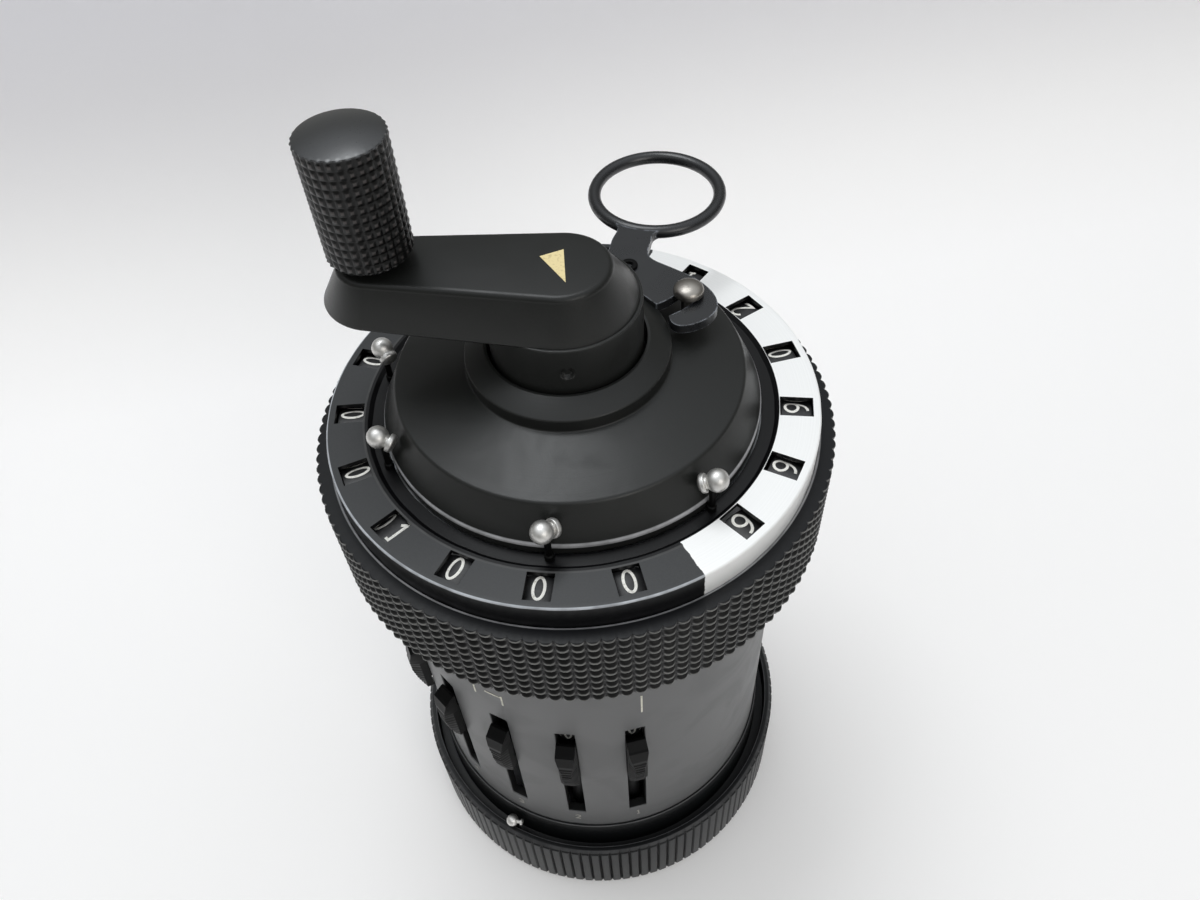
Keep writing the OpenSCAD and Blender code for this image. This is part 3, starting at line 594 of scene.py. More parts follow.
def greyCasing():
    # Grey outside, and near black on the slots' walls, which is painted shade inside the slots
    look = greyLook
    finish, tree, shader = newFinish("greyCasing")
    grain = useGroup(tree, fineGrain, Grains_per_mm=look["grains"], Roughness=look["roughness"], Spread=0.18)
    marks = useGroup(tree, handMarks, Size_mm=9.0)["Mask"]
    wearAndSheen = useGroup(tree, edgeWearAndSheen, Width_mm=0.15, Strength=0.5)["Mask"]
    body = blendTones(tree, grain["Tone"], look["dark"], look["light"])
    skin = spread(tree, axisDistance(tree), look["skinR"] - look["blend"], look["skinR"])
    body = blendTones(tree, skin, look["wall"], blendTones(tree, wearAndSheen, body, look["wornAndSheenTone"]))
    smeared = maths(tree, "MULTIPLY", marks, look["smear"])
    feed(tree, shader, Base_Color=body, Roughness=maths(tree, "ADD", grain["Roughness"], smeared))
    bump(tree, shader, grain["Height"], look["bump"])
    return finish


def metal(name, colour, dark, roughness, rings=None):
    finish, tree, shader = newFinish(name, Metallic=1.0)
    grain = useGroup(tree, fineGrain, Grains_per_mm=5.0, Roughness=roughness, Spread=0.2)
    marks = useGroup(tree, handMarks, Size_mm=2.0)["Mask"]
    tone, height = marks, grain["Height"]
    if rings:
        cut = useGroup(tree, turnedRings, Lines_per_mm=rings)
        tone = maths(tree, "MULTIPLY", maths(tree, "ADD", marks, cut["Tone"]), 0.5)
        height = cut["Height"]
    feed(tree, shader, Base_Color=blendTones(tree, tone, colour, dark), Roughness=grain["Roughness"])
    bump(tree, shader, height, 0.004)
    return finish


def paint(name, colour, wornAndSheenTone, roughness=0.55):
    # Thin filled or printed colour
    finish, tree, shader = newFinish(name)
    grain = useGroup(tree, fineGrain, Grains_per_mm=9.0, Roughness=roughness, Spread=0.2)
    patch = spread(tree, noise(tree, 3.0), 0.5, 0.72)
    feed(tree, shader, Base_Color=blendTones(tree, patch, colour, wornAndSheenTone), Roughness=grain["Roughness"])
    bump(tree, shader, grain["Height"], 0.004)
    return finish


numberPlate = splitPlate()
casingGrey = greyCasing()
headSteel = metal("headSteel", (0.36, 0.34, 0.31), (0.27, 0.25, 0.23), 0.36)
beadSteel = metal("beadSteel", (0.76, 0.75, 0.73), (0.62, 0.61, 0.59), 0.45)
frameSteel = metal("frameSteel", (0.45, 0.46, 0.47), (0.32, 0.33, 0.34), 0.38, rings=4.0)
gearBrass = metal("gearBrass", (0.72, 0.55, 0.26), (0.5, 0.37, 0.16), 0.32)
dialBlack = paint("dialBlack", (0.02, 0.02, 0.021), (0.035, 0.034, 0.034), 0.42)
digitWhite = paint("digitWhite", (0.92, 0.9, 0.84), (0.66, 0.64, 0.58))
markWhite = paint("markWhite", (0.72, 0.7, 0.6), (0.4, 0.39, 0.34))
wornWhite = paint("wornWhite", (0.34, 0.33, 0.3), (0.18, 0.18, 0.17))
creamMark = paint("creamMark", (0.83, 0.69, 0.36), (0.62, 0.5, 0.25), 0.45)
print("calculator: finishes ready")


# Knurled carriage ring: upright convex columns, crossed by turned grooves
ringCut = {"columns": 120, "acrossColumn": 8, "columnDip": 0.42, "rows": 9, "perRow": 8, "rowDip": 0.42,
           "land": 0.16, "topLand": 0.2, "bottomLand": 0.2, "wall": 1.75, "lipWall": 1.75, "lip": 1.2,
           "footInset": 0.25, "topInset": 0.15, "bend": 0.1, "rimBend": 0.22, "rimFall": 0.7, "slope": 0.02}
# The ring's crest tone is a painted highlight, its groove and cusp tones are painted shade, and its rim entry
# paints a highlight line at the inner top edge
ringLook = {"roughness": 0.38, "specular": 0.22, "bump": 0.003, "cut": 0.7, "zoneFall": 0.04,
            "rim": (-0.06, 0.06, 0.26, 0.36),
            "crestMask": (["Row"], 0.34, 0.14), "crest": (0.16, 0.16, 0.152),
            "cuspMask": (["Column"], 0.26, 0.1), "cusp": (0.03, 0.03, 0.031),
            "groove": (0.003, 0.003, 0.0032), "dark": (0.006, 0.0065, 0.0075),
            "light": (0.009, 0.0095, 0.011)}


def carriageRing():
    cut = ringCut
    low, high = boxOf("carriage_ring")
    r, foot, top = high.x, low.z, high.z
    zoneLow, zoneHigh = foot + cut["bottomLand"], top - cut["topLand"]
    rowPitch = (zoneHigh - zoneLow) / cut["rows"]

    def knurl(angle, reach, z):
        across = 2 * ((angle * cut["columns"] / (2 * math.pi)) % 1) - 1
        column = cut["columnDip"] * across * across
        groove = cut["rowDip"] * max(0.0, (wave((z - zoneLow) / rowPitch) - cut["land"]) / (1 - cut["land"]))
        inRows = zoneLow < z < zoneHigh
        return min(reach, r - max(column, groove if inRows else 0.0))

    inner = r - cut["wall"]
    lipR, lipTop = inner - cut["lipWall"], foot + cut["lip"]
    profile = rounded([(lipR, foot), (r - cut["footInset"], foot)])
    profile += [(r, z) for z in evenly(zoneLow, zoneHigh, cut["rows"] * cut["perRow"])]
    profile += rounded([(r - cut["slope"], top - cut["bend"]), (r - cut["topInset"], top, cut["bend"]),
                        (inner + cut["slope"], top, cut["rimBend"]), (inner, top - cut["rimFall"]),
                        (inner, lipTop), (lipR, lipTop)])
    form = turned(profile, cut["columns"] * cut["acrossColumn"], knurl, loop=True)
    zone = {"radius": r, "top": top - ringLook["zoneFall"], "columns": cut["columns"], "start": zoneLow,
            "row": rowPitch, "rimHighlights": [rimAt(inner, top, ringLook["rim"])]}
    finish = knurledBlack("ringKnurl", ringLook, zone)
    ring = addMesh("knurledRing", form, finish, "carriage", sharp=50)
    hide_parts("carriage_ring")


carriageRing()


# Crank: arm with its hub, knob and pale mark
crankShape = {"thick": 4.0, "bottomR": (7.02, 5.32), "topR": (4.78, 3.58), "foot": 0.35, "edge": 0.6,
              "steps": 6, "around": 128}
hubShape = {"r": 7.3, "bore": 3.3, "foot": 0.4, "footInset": 0.05, "footBend": 0.3, "belowArm": 0.1,
            "intoArm": 0.05, "crown": 0.3, "crownBend": 0.28, "rows": 40, "around": 480, "pinR": 0.62,
            "pinDrop": 2.4, "pinDepth": 0.35, "pinSlope": 0.15, "skin": 0.1}
knobCut = {"columns": 30, "perColumn": 8, "rows": 13, "perRow": 8, "dip": 0.15, "land": 0.7, "chamfer": 0.9,
           "footInset": 0.25, "footRise": 0.6, "rim": (0.66, 0.6), "rimInset": 0.04, "crownInset": 0.15,
           "crown": 0.52, "crownSteps": 14}
# The knob's paler dot tops are a painted highlight and its near-black cuts a painted shade
knobLook = {"roughness": 0.3, "specular": 0.28, "bump": 0.001, "cut": 0.2, "zoneFall": -0.1, "coat": 1.0,
            "coatRoughness": 0.25,
            "crestMask": (["Row", "Column"], 0.5, 0.8), "groove": (0.003, 0.003, 0.003),
            "crest": (0.06, 0.053, 0.052), "dark": (0.013, 0.014, 0.016), "light": (0.02, 0.022, 0.024)}


def armOutline(hub, tip, reach, angle, z):
    # Two arcs joined by their tangents
    lean = math.acos((hub - tip) / reach)
    steps = crankShape["around"] // 2 - 1
    outline = [(hub * math.cos(t), hub * math.sin(t)) for t in evenly(lean, 2 * math.pi - lean, steps)]
    outline += [(reach + tip * math.cos(t), tip * math.sin(t)) for t in evenly(-lean, lean, steps)]
    c, s = math.cos(angle), math.sin(angle)
    return [(x * c - y * s, x * s + y * c, z) for x, y in outline]


def crankArm():
    shape = crankShape
    low, high = boxOf("crank_arm")
    knobLow, knobHigh = boxOf("crank_knob")
    knobAt = (knobLow + knobHigh) / 2
    reach = math.hypot(knobAt.x, knobAt.y)
    angle = math.atan2(knobAt.y, knobAt.x)
    armLow = high.z - shape["thick"]
    levels = []
    for t in evenly(0, math.pi / 2, shape["steps"]):
        inset = shape["foot"] * (1 - math.sin(t))
        levels.append([r - inset for r in shape["bottomR"]] + [armLow + shape["foot"] * (1 - math.cos(t))])
    for t in evenly(0, math.pi / 2, shape["steps"]):
        inset = shape["edge"] * (1 - math.cos(t))
        levels.append([r - inset for r in shape["topR"]] + [high.z - shape["edge"] * (1 - math.sin(t))])
    form = stack([armOutline(hub, tip, reach, angle, z) for hub, tip, z in levels])
    arm = addMesh("crankArm", form, armBlack, "drive", sharp=50)
    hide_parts("crank_arm")
    crankHub(low.z, armLow)
    dress("crank_mark", creamMark)


def crankHub(foot, armLow):
    shape = hubShape
    r, bore = shape["r"], shape["bore"]
    wallLow, wallHigh, crown = foot + shape["foot"], armLow - shape["belowArm"], armLow + shape["crown"]

    def pinHole(angle, reach, z):
        # Shallow countersunk hole in the front of the hub
        fromFront = (angle + math.pi) % (2 * math.pi) - math.pi
        off = math.hypot(fromFront * r, z - (armLow - shape["pinDrop"]))
        depth = shape["pinDepth"] * max(0.0, min(1.0, (shape["pinR"] - off) / shape["pinSlope"]))
        return reach - depth if reach > r - shape["skin"] else reach

    profile = rounded([(bore, foot), (r - shape["footInset"], foot, shape["footBend"]), (r, wallLow)])
    profile += [(r, z) for z in evenly(wallLow, wallHigh, shape["rows"])[1:-1]]
    profile += rounded([(r, armLow + shape["intoArm"]), (r, crown, shape["crownBend"]), (bore, crown)])
    form = turned(profile, shape["around"], pinHole, loop=True)
    addMesh("crankHub", form, armBlack, "drive")


def crankKnob():
    cut = knobCut
    low, high = boxOf("crank_knob")
    centre = ((low.x + high.x) / 2, (low.y + high.y) / 2, 0)
    r = (high.x - low.x) / 2
    zoneLow, zoneHigh = low.z + cut["land"], high.z - cut["land"]
    rowPitch = (zoneHigh - zoneLow) / cut["rows"]

    def knurl(angle, reach, z):
        across = wave(angle * cut["columns"] / (2 * math.pi))
        row = (z - zoneLow) / rowPitch
        along = wave(row) if 0 < row < cut["rows"] else 1.0
        return min(reach, r - cut["dip"] * (1 - min(across, along)))

    profile = [(0, low.z), (r - cut["chamfer"], low.z), (r - cut["footInset"], low.z + cut["footRise"])]
    profile += [(r, z) for z in evenly(zoneLow, zoneHigh, cut["rows"] * cut["perRow"])]
    profile += [(r, high.z - cut["rim"][0]), (r - cut["rimInset"], high.z - cut["rim"][1])]
    profile += [((r - cut["crownInset"]) * t, high.z - cut["crown"] * t ** 2)
                for t in evenly(1, 0, cut["crownSteps"])]
    form = turned(profile, cut["columns"] * cut["perColumn"], knurl)
    zone = {"radius": r, "top": zoneHigh - knobLook["zoneFall"], "columns": cut["columns"],
            "start": zoneLow, "row": rowPitch, "rimHighlights": []}
    finish = knurledBlack("knobKnurl", knobLook, zone)
    knob = addMesh("crankKnob", form, finish, "knob", centre, sharp=25)
    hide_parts("crank_knob")


crankArm()
crankKnob()
print("calculator: crank made")


# Base cap with its ribs
baseCut = {"ribs": 120, "perRib": 12, "depth": 0.3, "land": 0.68, "root": 0.92, "floor": 2.4, "casingR": 22.5,
           "casingGap": 0.05, "footWall": 0.45, "rimWall": 1.1, "grooveFloor": 9.2, "rim": 11.8,
           "rimFall": 0.45, "rimInset": 0.5, "edge": 0.6, "collarFall": 2.2, "collarInset": 0.2,
           "bends": (0.15, 0.4, 0.3, 0.2, 0.12, 0.15, 0.15, 0.1)}
# The base's rim entries paint highlight lines, and its groove tone darkens the rib grooves as painted shade
baseLook = {"roughness": 0.38, "specular": 0.2, "bump": 0.003, "cut": 0.32, "zoneFall": 0.35,
            "outerRim": (0.35, 0.15, 0.3, 0.06), "grooveRim": (0, 0, 0.16, 0.12),
            "collarRim": (0.1, 0.1, 0.2, 0.1),
            "crestMask": (["Column"], 0.1, 0.36), "crest": (0.013, 0.014, 0.015),
            "groove": (0.004, 0.004, 0.005), "dark": (0.004, 0.0045, 0.005), "light": (0.007, 0.0075, 0.008)}


def baseCap():
    cut = baseCut
    r, top = boxOf("base_cap")[1].x, boxOf("base_cap")[1].z
    bore, wallIn = cut["casingR"] + cut["casingGap"], cut["casingR"] + cut["footWall"]
    wallOut, rim, floor, groove = r - cut["rimWall"], cut["rim"], cut["floor"], cut["grooveFloor"]

    def ribs(angle, reach, z):
        off = abs(2 * ((angle * cut["ribs"] / (2 * math.pi)) % 1) - 1)
        notch = max(0.0, min(1.0, (off - cut["land"]) / (cut["root"] - cut["land"])))
        return min(reach, r - cut["depth"] * notch)

    bend = cut["bends"]
    profile = rounded([
        (0, 0), (r - cut["edge"], 0, bend[0]), (r, cut["edge"], bend[1]), (r, rim - cut["rimFall"], bend[2]),
        (r - cut["rimInset"], rim, bend[3]), (wallOut, rim, bend[4]), (wallOut, groove, bend[5]),
        (wallIn, groove, bend[6]), (wallIn, top - cut["collarFall"]),
        (wallIn - cut["collarInset"], top, bend[7]), (bore, top), (bore, floor), (0, floor)], steps=3)
    form = turned(profile, cut["ribs"] * cut["perRib"], ribs)
    look = baseLook
    rimHighlights = [rimAt(r, rim, look["outerRim"]), rimAt(wallOut, rim, look["grooveRim"]),
            rimAt(wallIn, top, look["collarRim"])]
    zone = {"radius": r, "top": rim - look["zoneFall"], "columns": cut["ribs"], "start": 0.0, "row": 1.0,
            "rimHighlights": rimHighlights}
    finish = knurledBlack("ribbedBlack", look, zone)
    base = addMesh("ribbedBase", form, finish, "machine_body", sharp=40)
    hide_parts("base_cap")


baseCap()


# Clearing cap with its dished top and collar
capShape = {"boreR": 7.6, "boreDepth": 4.5, "innerR": 8.66, "lip": 0.3, "collarR": 9.9, "bevel": 1.1,
            "collarFoot": 78.95, "shoulder": 77.7, "shoulderR": 17.0, "edgeZ": 73.8, "footRise": 0.5,
            "wall": 1.2, "underR": 15.9, "underFall": 0.1, "bends": (0.08, 0.1, 0.25, 0.2, 0.5, 0.3)}


def clearingCap():
    shape = capShape
    low, high = boxOf("clearing_cap")
    r, top, foot = high.x, high.z, low.z + shape["footRise"]
    bore, inner, collar, shoulder = shape["boreR"], shape["innerR"], shape["collarR"], shape["shoulder"]
    bend = shape["bends"]
    profile = rounded([
        (bore, top - shape["boreDepth"]), (bore, top, bend[0]), (bore + shape["lip"], top, bend[1]),
        (collar, top - shape["bevel"], bend[2]), (collar, shape["collarFoot"], bend[3]),
        (shape["shoulderR"], shoulder, bend[4]), (r, shape["edgeZ"], bend[5]), (r, foot),
        (r - shape["wall"], foot), (shape["underR"], shoulder - shape["wall"]),
        (collar, shoulder - shape["underFall"]), (collar, low.z), (inner, low.z),
        (inner, top - shape["boreDepth"])], loop=True)
    form = turned(profile, 256, loop=True)
    cap = addMesh("dishedCap", form, capBlack, "clearing", sharp=40)
    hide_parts("clearing_cap")


clearingCap()


# Finger ring lever with its hooked slot, its pivot screw and the latch post
leverShape = {"halfThick": 0.5, "ring": (10.6, 22.9), "ringR": 6.9, "wire": 0.7, "wireSides": 24,
              "ringSteps": 160, "pivot": (6.6, 10.1), "post": (12.1, 5.06), "slotHalf": 1.0, "edge": 0.14,
              "hubSide": [(4.95, 18.9), (5.9, 16.7), (5.2, 14.7), (4.6, 12.6), (4.0, 10.1), (4.6, 8.4),
                          (6.4, 7.1), (8.84, 4.04)],
              "tongue": [(9.87, 2.3), (10.05, 1.4), (10.75, 0.78), (12.2, 0.9), (13.8, 1.75), (14.7, 3.1),
                         (14.65, 4.8), (13.85, 6.5), (12.7, 7.9), (10.7, 9.6), (9.15, 10.9), (8.7, 12.1),
                         (9.15, 13.9), (9.75, 15.3), (11.9, 16.13)]}
studShape = {"stemR": 0.7, "headR": 1.5, "headTaper": 0.1, "headDepth": 1.2, "domeRise": 0.72, "screwR": 0.9,
             "screwRise": 0.3, "screwBend": 0.15, "slotR": 0.42, "slotFloorR": 0.3, "gap": 0.05, "bossR": 1.6,
             "bossFall": 1.06}


def curveThrough(points, steps=5):
    # An open smooth curve through points
    curve = []
    padded = [points[0], *points, points[-1]]
    for a, b, c, d in zip(padded, padded[1:], padded[2:], padded[3:]):
        for k in range(steps):
            t = k / steps
            curve.append(tuple(b[j] + 0.5 * t * (c[j] - a[j] + t * (2 * a[j] - 5 * b[j] + 4 * c[j] - d[j]
                                                 + t * (3 * b[j] - a[j] - 3 * c[j] + d[j]))) for j in (0, 1)))
    return curve + [points[-1]]


def arc(centre, r, start, end, steps):
    return [(centre[0] + r * math.cos(t), centre[1] + r * math.sin(t)) for t in evenly(start, end, steps)]


def bearing(centre, point):
    return math.atan2(point[1] - centre[1], point[0] - centre[0])


def ringLever():
    shape = leverShape
    low, high = boxOf("ring_lever")
    middle = (low.z + high.z) / 2
    pivot, post, half, centre = shape["pivot"], shape["post"], shape["slotHalf"], shape["ring"]
    hubSide, tongue = shape["hubSide"], shape["tongue"]
    reach = math.dist(pivot, post)
    towards = bearing(pivot, post)
    outline = curveThrough(hubSide)
    outline += arc(pivot, reach - half, bearing(pivot, hubSide[-1]), towards, 8)[1:]
    outline += arc(post, half, towards + math.pi, towards, 12)[1:]
    outline += arc(pivot, reach + half, towards, bearing(pivot, tongue[0]), 8)[1:-1]
    outline += curveThrough(tongue)
    outline += arc(centre, shape["ringR"], bearing(centre, tongue[-1]), bearing(centre, hubSide[0]), 12)[1:-1]
    levels = (middle - shape["halfThick"], middle + shape["halfThick"])
    plate = stack([[(x, y, z) for x, y in outline] for z in levels])
    wire = arc((shape["ringR"], middle), shape["wire"], 0, 2 * math.pi, shape["wireSides"])[:-1]
    points, faces = turned(wire, shape["ringSteps"], loop=True)
    ring = [(x + centre[0], y + centre[1], z) for x, y, z in points], faces
    lever = addMesh("ringLever", join([plate, ring]), leverBlack, "lever", sharp=40)
    bevelEdges(lever, shape["edge"], 50, 3)
    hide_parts("ring_lever")


def leverStuds():
    shape = studShape
    leverLow, leverHigh = boxOf("ring_lever")
    top = boxOf("lever_studs")[1].z
    post, pivot = (*leverShape["post"], 0), (*leverShape["pivot"], 0)
    leverTop = (leverLow.z + leverHigh.z) / 2 + leverShape["halfThick"]
    foot, stem, head, rise = capShape["shoulder"], shape["stemR"], shape["headR"], shape["domeRise"]
    under = top - shape["headDepth"]
    dome = [(head * math.cos(t), top - rise + rise * math.sin(t)) for t in evenly(0, math.pi / 2, 8)]
    dome[-1] = (0, top)
    latch = [(0, foot), (stem, foot), (stem, under), (head - shape["headTaper"], under),
             (head, under + shape["headTaper"]), *dome]
    stud = addMesh("latchPost", turned(latch, 64), headSteel, "clearing", post)
    seat, crown, slotFloor = leverTop + shape["gap"], leverTop + shape["screwRise"], leverTop - shape["gap"]
    screw = rounded([(0, foot), (stem, foot), (stem, seat), (shape["screwR"], seat),
                     (shape["screwR"], crown, shape["screwBend"]), (shape["slotR"], crown, 0.1),
                     (shape["slotFloorR"], slotFloor), (0, slotFloor)])
    addMesh("pivotScrew", turned(screw, 48), gripBlack, "clearing", pivot)
    bossTop = leverTop - shape["bossFall"]
    boss = rounded([(0, foot), (shape["bossR"], foot), (shape["bossR"], bossTop, 0.1), (0, bossTop)])
    addMesh("pivotBoss", turned(boss, 48), capBlack, "clearing", pivot)
    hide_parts("lever_studs")


ringLever()
leverStuds()
print("calculator: cap and lever made")


# Stroke figures, drawn in a box one unit wide and two units high
def bend(cx, cy, rx, ry, start, end, steps=12):
    turns = [math.radians(t) for t in evenly(start, end, steps)]
    return [(cx + rx * math.cos(t), cy + ry * math.sin(t)) for t in turns]


figures = {
    0: [bend(0, 0, 0.38, 1, 90, 450, 28)],
    1: [[(-0.3, 0.62), (0.04, 1), (0.04, -1)], [(-0.26, -1), (0.34, -1)]],
    2: [bend(0, 0.45, 0.48, 0.55, 165, -25) + [(-0.48, -1), (0.5, -1)]],
    3: [bend(-0.02, 0.5, 0.44, 0.5, 150, -90) + bend(-0.02, -0.5, 0.5, 0.5, 90, -150)],
    4: [[(0.28, -1), (0.28, 1), (-0.5, -0.4), (0.52, -0.4)]],
    5: [[(0.42, 1), (-0.36, 1), (-0.4, 0.12)] + bend(-0.02, -0.36, 0.5, 0.62, 125, -145)],
    6: [bend(0, -0.42, 0.5, 0.58, 0, 360, 20), bend(0.36, -0.3, 0.84, 1.3, 180, 92)],
    7: [[(-0.5, 1), (0.5, 1), (-0.14, -1)]],
    8: [bend(0, 0.52, 0.4, 0.48, 0, 360, 18), bend(0, -0.5, 0.5, 0.5, 0, 360, 18)],
    9: [bend(0, 0.42, 0.5, 0.58, 0, 360, 20), bend(-0.36, 0.3, 0.84, 1.3, 0, -88)],
}


def ribbon(path, width, thick, lift):
    # A flat band along a drawn line: four corners at each point, as (x, y, height)
    closed = (Vector(path[0]) - Vector(path[-1])).length < 1e-6
    line = [Vector(p) for p in (path[:-1] if closed else path)]
    count = len(line)
    points, faces = [], []
    for i, here in enumerate(line):
        after = line[(i + 1) % count] if closed or i < count - 1 else here
        before = line[i - 1] if closed or i else here
        arriving, leaving = (here - before), (after - here)
        arriving = arriving.normalized() if arriving.length else leaving.normalized()
        leaving = leaving.normalized() if leaving.length else arriving
        along = (arriving + leaving).normalized()
        stretch = 1 / max(0.55, along.dot(leaving))
        side = Vector((-along.y, along.x)) * width / 2 * stretch
        for offset, height in ((side, lift), (-side, lift), (-side, lift + thick), (side, lift + thick)):
            points.append((here.x + offset.x, here.y + offset.y, height))
    for i in range(count if closed else count - 1):
        k = (i + 1) % count
        for j in range(4):
            m = (j + 1) % 4
            faces.append([4 * i + j, 4 * i + m, 4 * k + m, 4 * k + j])
    if not closed:
        faces += [[0, 1, 2, 3], [4 * count - 4, 4 * count - 3, 4 * count - 2, 4 * count - 1]]
    return points, faces


def shortSteps(path, step=0.2):
    # Long straight strokes are split, so that they bend with the drum they lie on
    fine = [path[0]]
    for a, b in zip(path, path[1:]):
        count = max(1, math.ceil(math.dist(a, b) / step))
        fine += list(zip(evenly(a[0], b[0], count), evenly(a[1], b[1], count)))[1:]
    return fine


def drawn(strokes, place, look, thick=0.04, lift=-0.015):
    # Strokes laid on a surface by place(x, y, height)
    parts = []
    wide, half = look["width"] - look["stroke"], (look["height"] - look["stroke"]) / 2
    for path in strokes:
        band, sides = ribbon([(x * wide, y * half) for x, y in shortSteps(path)], look["stroke"], thick, lift)
        parts.append(([place(*point) for point in band], sides))
    return join(parts)


# Number dials, each with the digit that it shows; a fraction leaves it between two digits
dialLook = {"width": 1.62, "height": 2.5, "stroke": 0.27, "digitR": 22.42, "digitShift": 0.24,
            "axisDrop": 3.0, "bore": 3.01, "sleeveR": 3.55, "span": (20.8, 23.95), "edge": 0.12,
            "result": [-0.04, 0.05, 0.13, 0.8, 0.28, 0.3, 0.27, 0.2, 0.12, 0.05, -0.05],
            "counter": [8.8, 8.73, 8.69, -0.32, 1.7, 0.7]}


def numberDial(group, i, shown):
    look = dialLook
    node = f"{group}_dial_{i}"
    out, side = facing(jointAzimuth(f"{group}_{i}_turn"))
    axisZ = boxOf(node)[1].z - look["axisDrop"]
    r, bore, edge = look["sleeveR"], look["bore"], look["edge"]
    start, end = look["span"]
    points, faces = turned([(bore, start), (r - edge, start), (r, start + edge), (r, end - edge),
                            (r - edge, end), (bore, end)], 96, loop=True)
    sleeve = [tuple(out * z + side * x + Vector((0, 0, axisZ - y))) for x, y, z in points], faces
    addMesh(f"{group}Sleeve_{i}", sleeve, dialBlack, f"{group}_{i}", sharp=30)
    # The digits stand further out on the dials at the back
    digitR = look["digitR"] + look["digitShift"] * out.y
    parts = []
    for digit in range(10):
        turn = math.radians(36 * (digit - shown))

        def onDrum(x, y, height):
            t = x / r + turn
            at = out * (digitR - y) + side * (r + height) * math.sin(t)
            return (at.x, at.y, axisZ + (r + height) * math.cos(t))

        parts.append(drawn(figures[digit], onDrum, look))
    addMesh(f"{group}Digits_{i}", join(parts), digitWhite, f"{group}_{i}")
    dress(node, dialBlack)


for i, shown in enumerate(dialLook["result"], 1):
    numberDial("result", i, shown)
for i, shown in enumerate(dialLook["counter"], 1):
    numberDial("counter", i, shown)


# Setting rolls with their digits
rollLook = {"width": 1.18, "height": 2.3, "stroke": 0.24, "middle": 39.75}


def rollDigits(i):
    node = f"setting_roll_{i}"
    low, high = boxOf(node)
    middle, r = (low + high) / 2, (high.x - low.x) / 2
    out, side = facing(rollAzimuth(i))
    parts = []
    for digit in range(10):

        def onRoll(x, y, height):
            t = x / r - math.radians(36 * digit)
            at = middle + (r + height) * (out * math.cos(t) + side * math.sin(t))
            return (at.x, at.y, rollLook["middle"] + y)

        parts.append(drawn(figures[digit], onRoll, rollLook))
    addMesh(f"rollDigits_{i}", join(parts), digitWhite, f"roll_{i}")
    dress(node, dialBlack)


for i in range(1, 9):
    rollDigits(i)
print("calculator: dials and rolls numbered")


# Casing tube with its slots
casingShape = {"radius": 22.5, "wall": 1.2, "slotW": 2.2, "slot": (19.3, 42.7), "reverserAzimuth": 155.8,
               "reverserSlot": (43.5, 51.7), "edge": 0.12, "step": 3.0}


def casingTube():
    shape = casingShape
    low, high = boxOf("casing")
    azimuths = [rollAzimuth(i) for i in range(1, 9)] + [math.radians(shape["reverserAzimuth"])]
    columns = columnsRound([(azimuth, shape["slotW"] / 2) for azimuth in azimuths], shape["step"])
    heights = [low.z, *shape["slot"], *shape["reverserSlot"], high.z]
    openRow = {k: 1 for k in range(8)} | {8: 3}
    outer = layer([(shape["radius"], z) for z in heights], columns)
    inner = layer([(shape["radius"] - shape["wall"], z) for z in heights], columns)
    form = piercedShell(outer, inner, lambda i, j: openRow.get(openingAt(columns, j)) == i)
    tube = addMesh("slottedCasing", form, casingGrey, "machine_body", sharp=30)
    bevelEdges(tube, shape["edge"], 40)
    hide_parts("casing")


# Marks on the casing: upright lines as (degrees, top, bottom), one bar, and a number under each slot
markLook = {"line": 0.2, "uprights": [(12.7, 50.5, 46.5), (-26.3, 48.9, 46.6), (-35.2, 50.0, 46.8)],
            "barAt": (-29, 48.5), "barL": 2.2, "figureZ": 17.6}
slotFigures = {"width": 0.8, "height": 1.3, "stroke": 0.16}


def onCasing(azimuth, z):
    r = casingShape["radius"]

    def place(x, y, height):
        t = azimuth + x / r
        return ((r + height) * math.sin(t), -(r + height) * math.cos(t), z + y)

    return place


def casingMarks():
    look = markLook
    line = look["line"]
    parts = []
    for degrees, top, bottom in look["uprights"]:
        place = onCasing(math.radians(degrees), (top + bottom) / 2)
        parts.append(drawn([[(0, 1), (0, -1)]], place, {"width": 1, "height": top - bottom, "stroke": line}))
    place = onCasing(math.radians(look["barAt"][0]), look["barAt"][1])
    parts.append(drawn([[(-0.5, 0), (0.5, 0)]], place, {"width": look["barL"], "height": 1, "stroke": line}))
    addMesh("indexMarks", join(parts), markWhite, "machine_body")
    parts = [drawn(figures[i], onCasing(rollAzimuth(i), look["figureZ"]), slotFigures) for i in range(1, 9)]
    addMesh("slotNumbers", join(parts), wornWhite, "machine_body")


casingTube()
casingMarks()


# Slider knobs: a top that leans out to the tip line, and a narrow, ridged grip below it
knobShape = {"foot": 22.57, "shoulder": 23.45, "shoulderWall": 0.15, "halfW": 1.12, "halfGrip": 0.56,
             "topZ": 40.52, "tipZ": 39.77, "shoulderRise": 0.42, "widest": 0.4, "narrow": 3.4,
             "side": [(39.77, 24.07), (38.15, 24.42), (35.15, 24.42), (33.15, 24.12), (31.08, 23.62)],
             "ridges": 10, "ridge": 0.1, "ridgeTop": 37.6, "steps": 84, "bevel": 0.05}


def alongLine(line, at):
    # The radius at a height on a line of falling (height, radius) points
    for (z0, r0), (z1, r1) in zip(line, line[1:]):
        if at >= z1:
            return r0 + (r1 - r0) * (z0 - at) / (z0 - z1)
    return line[-1][1]


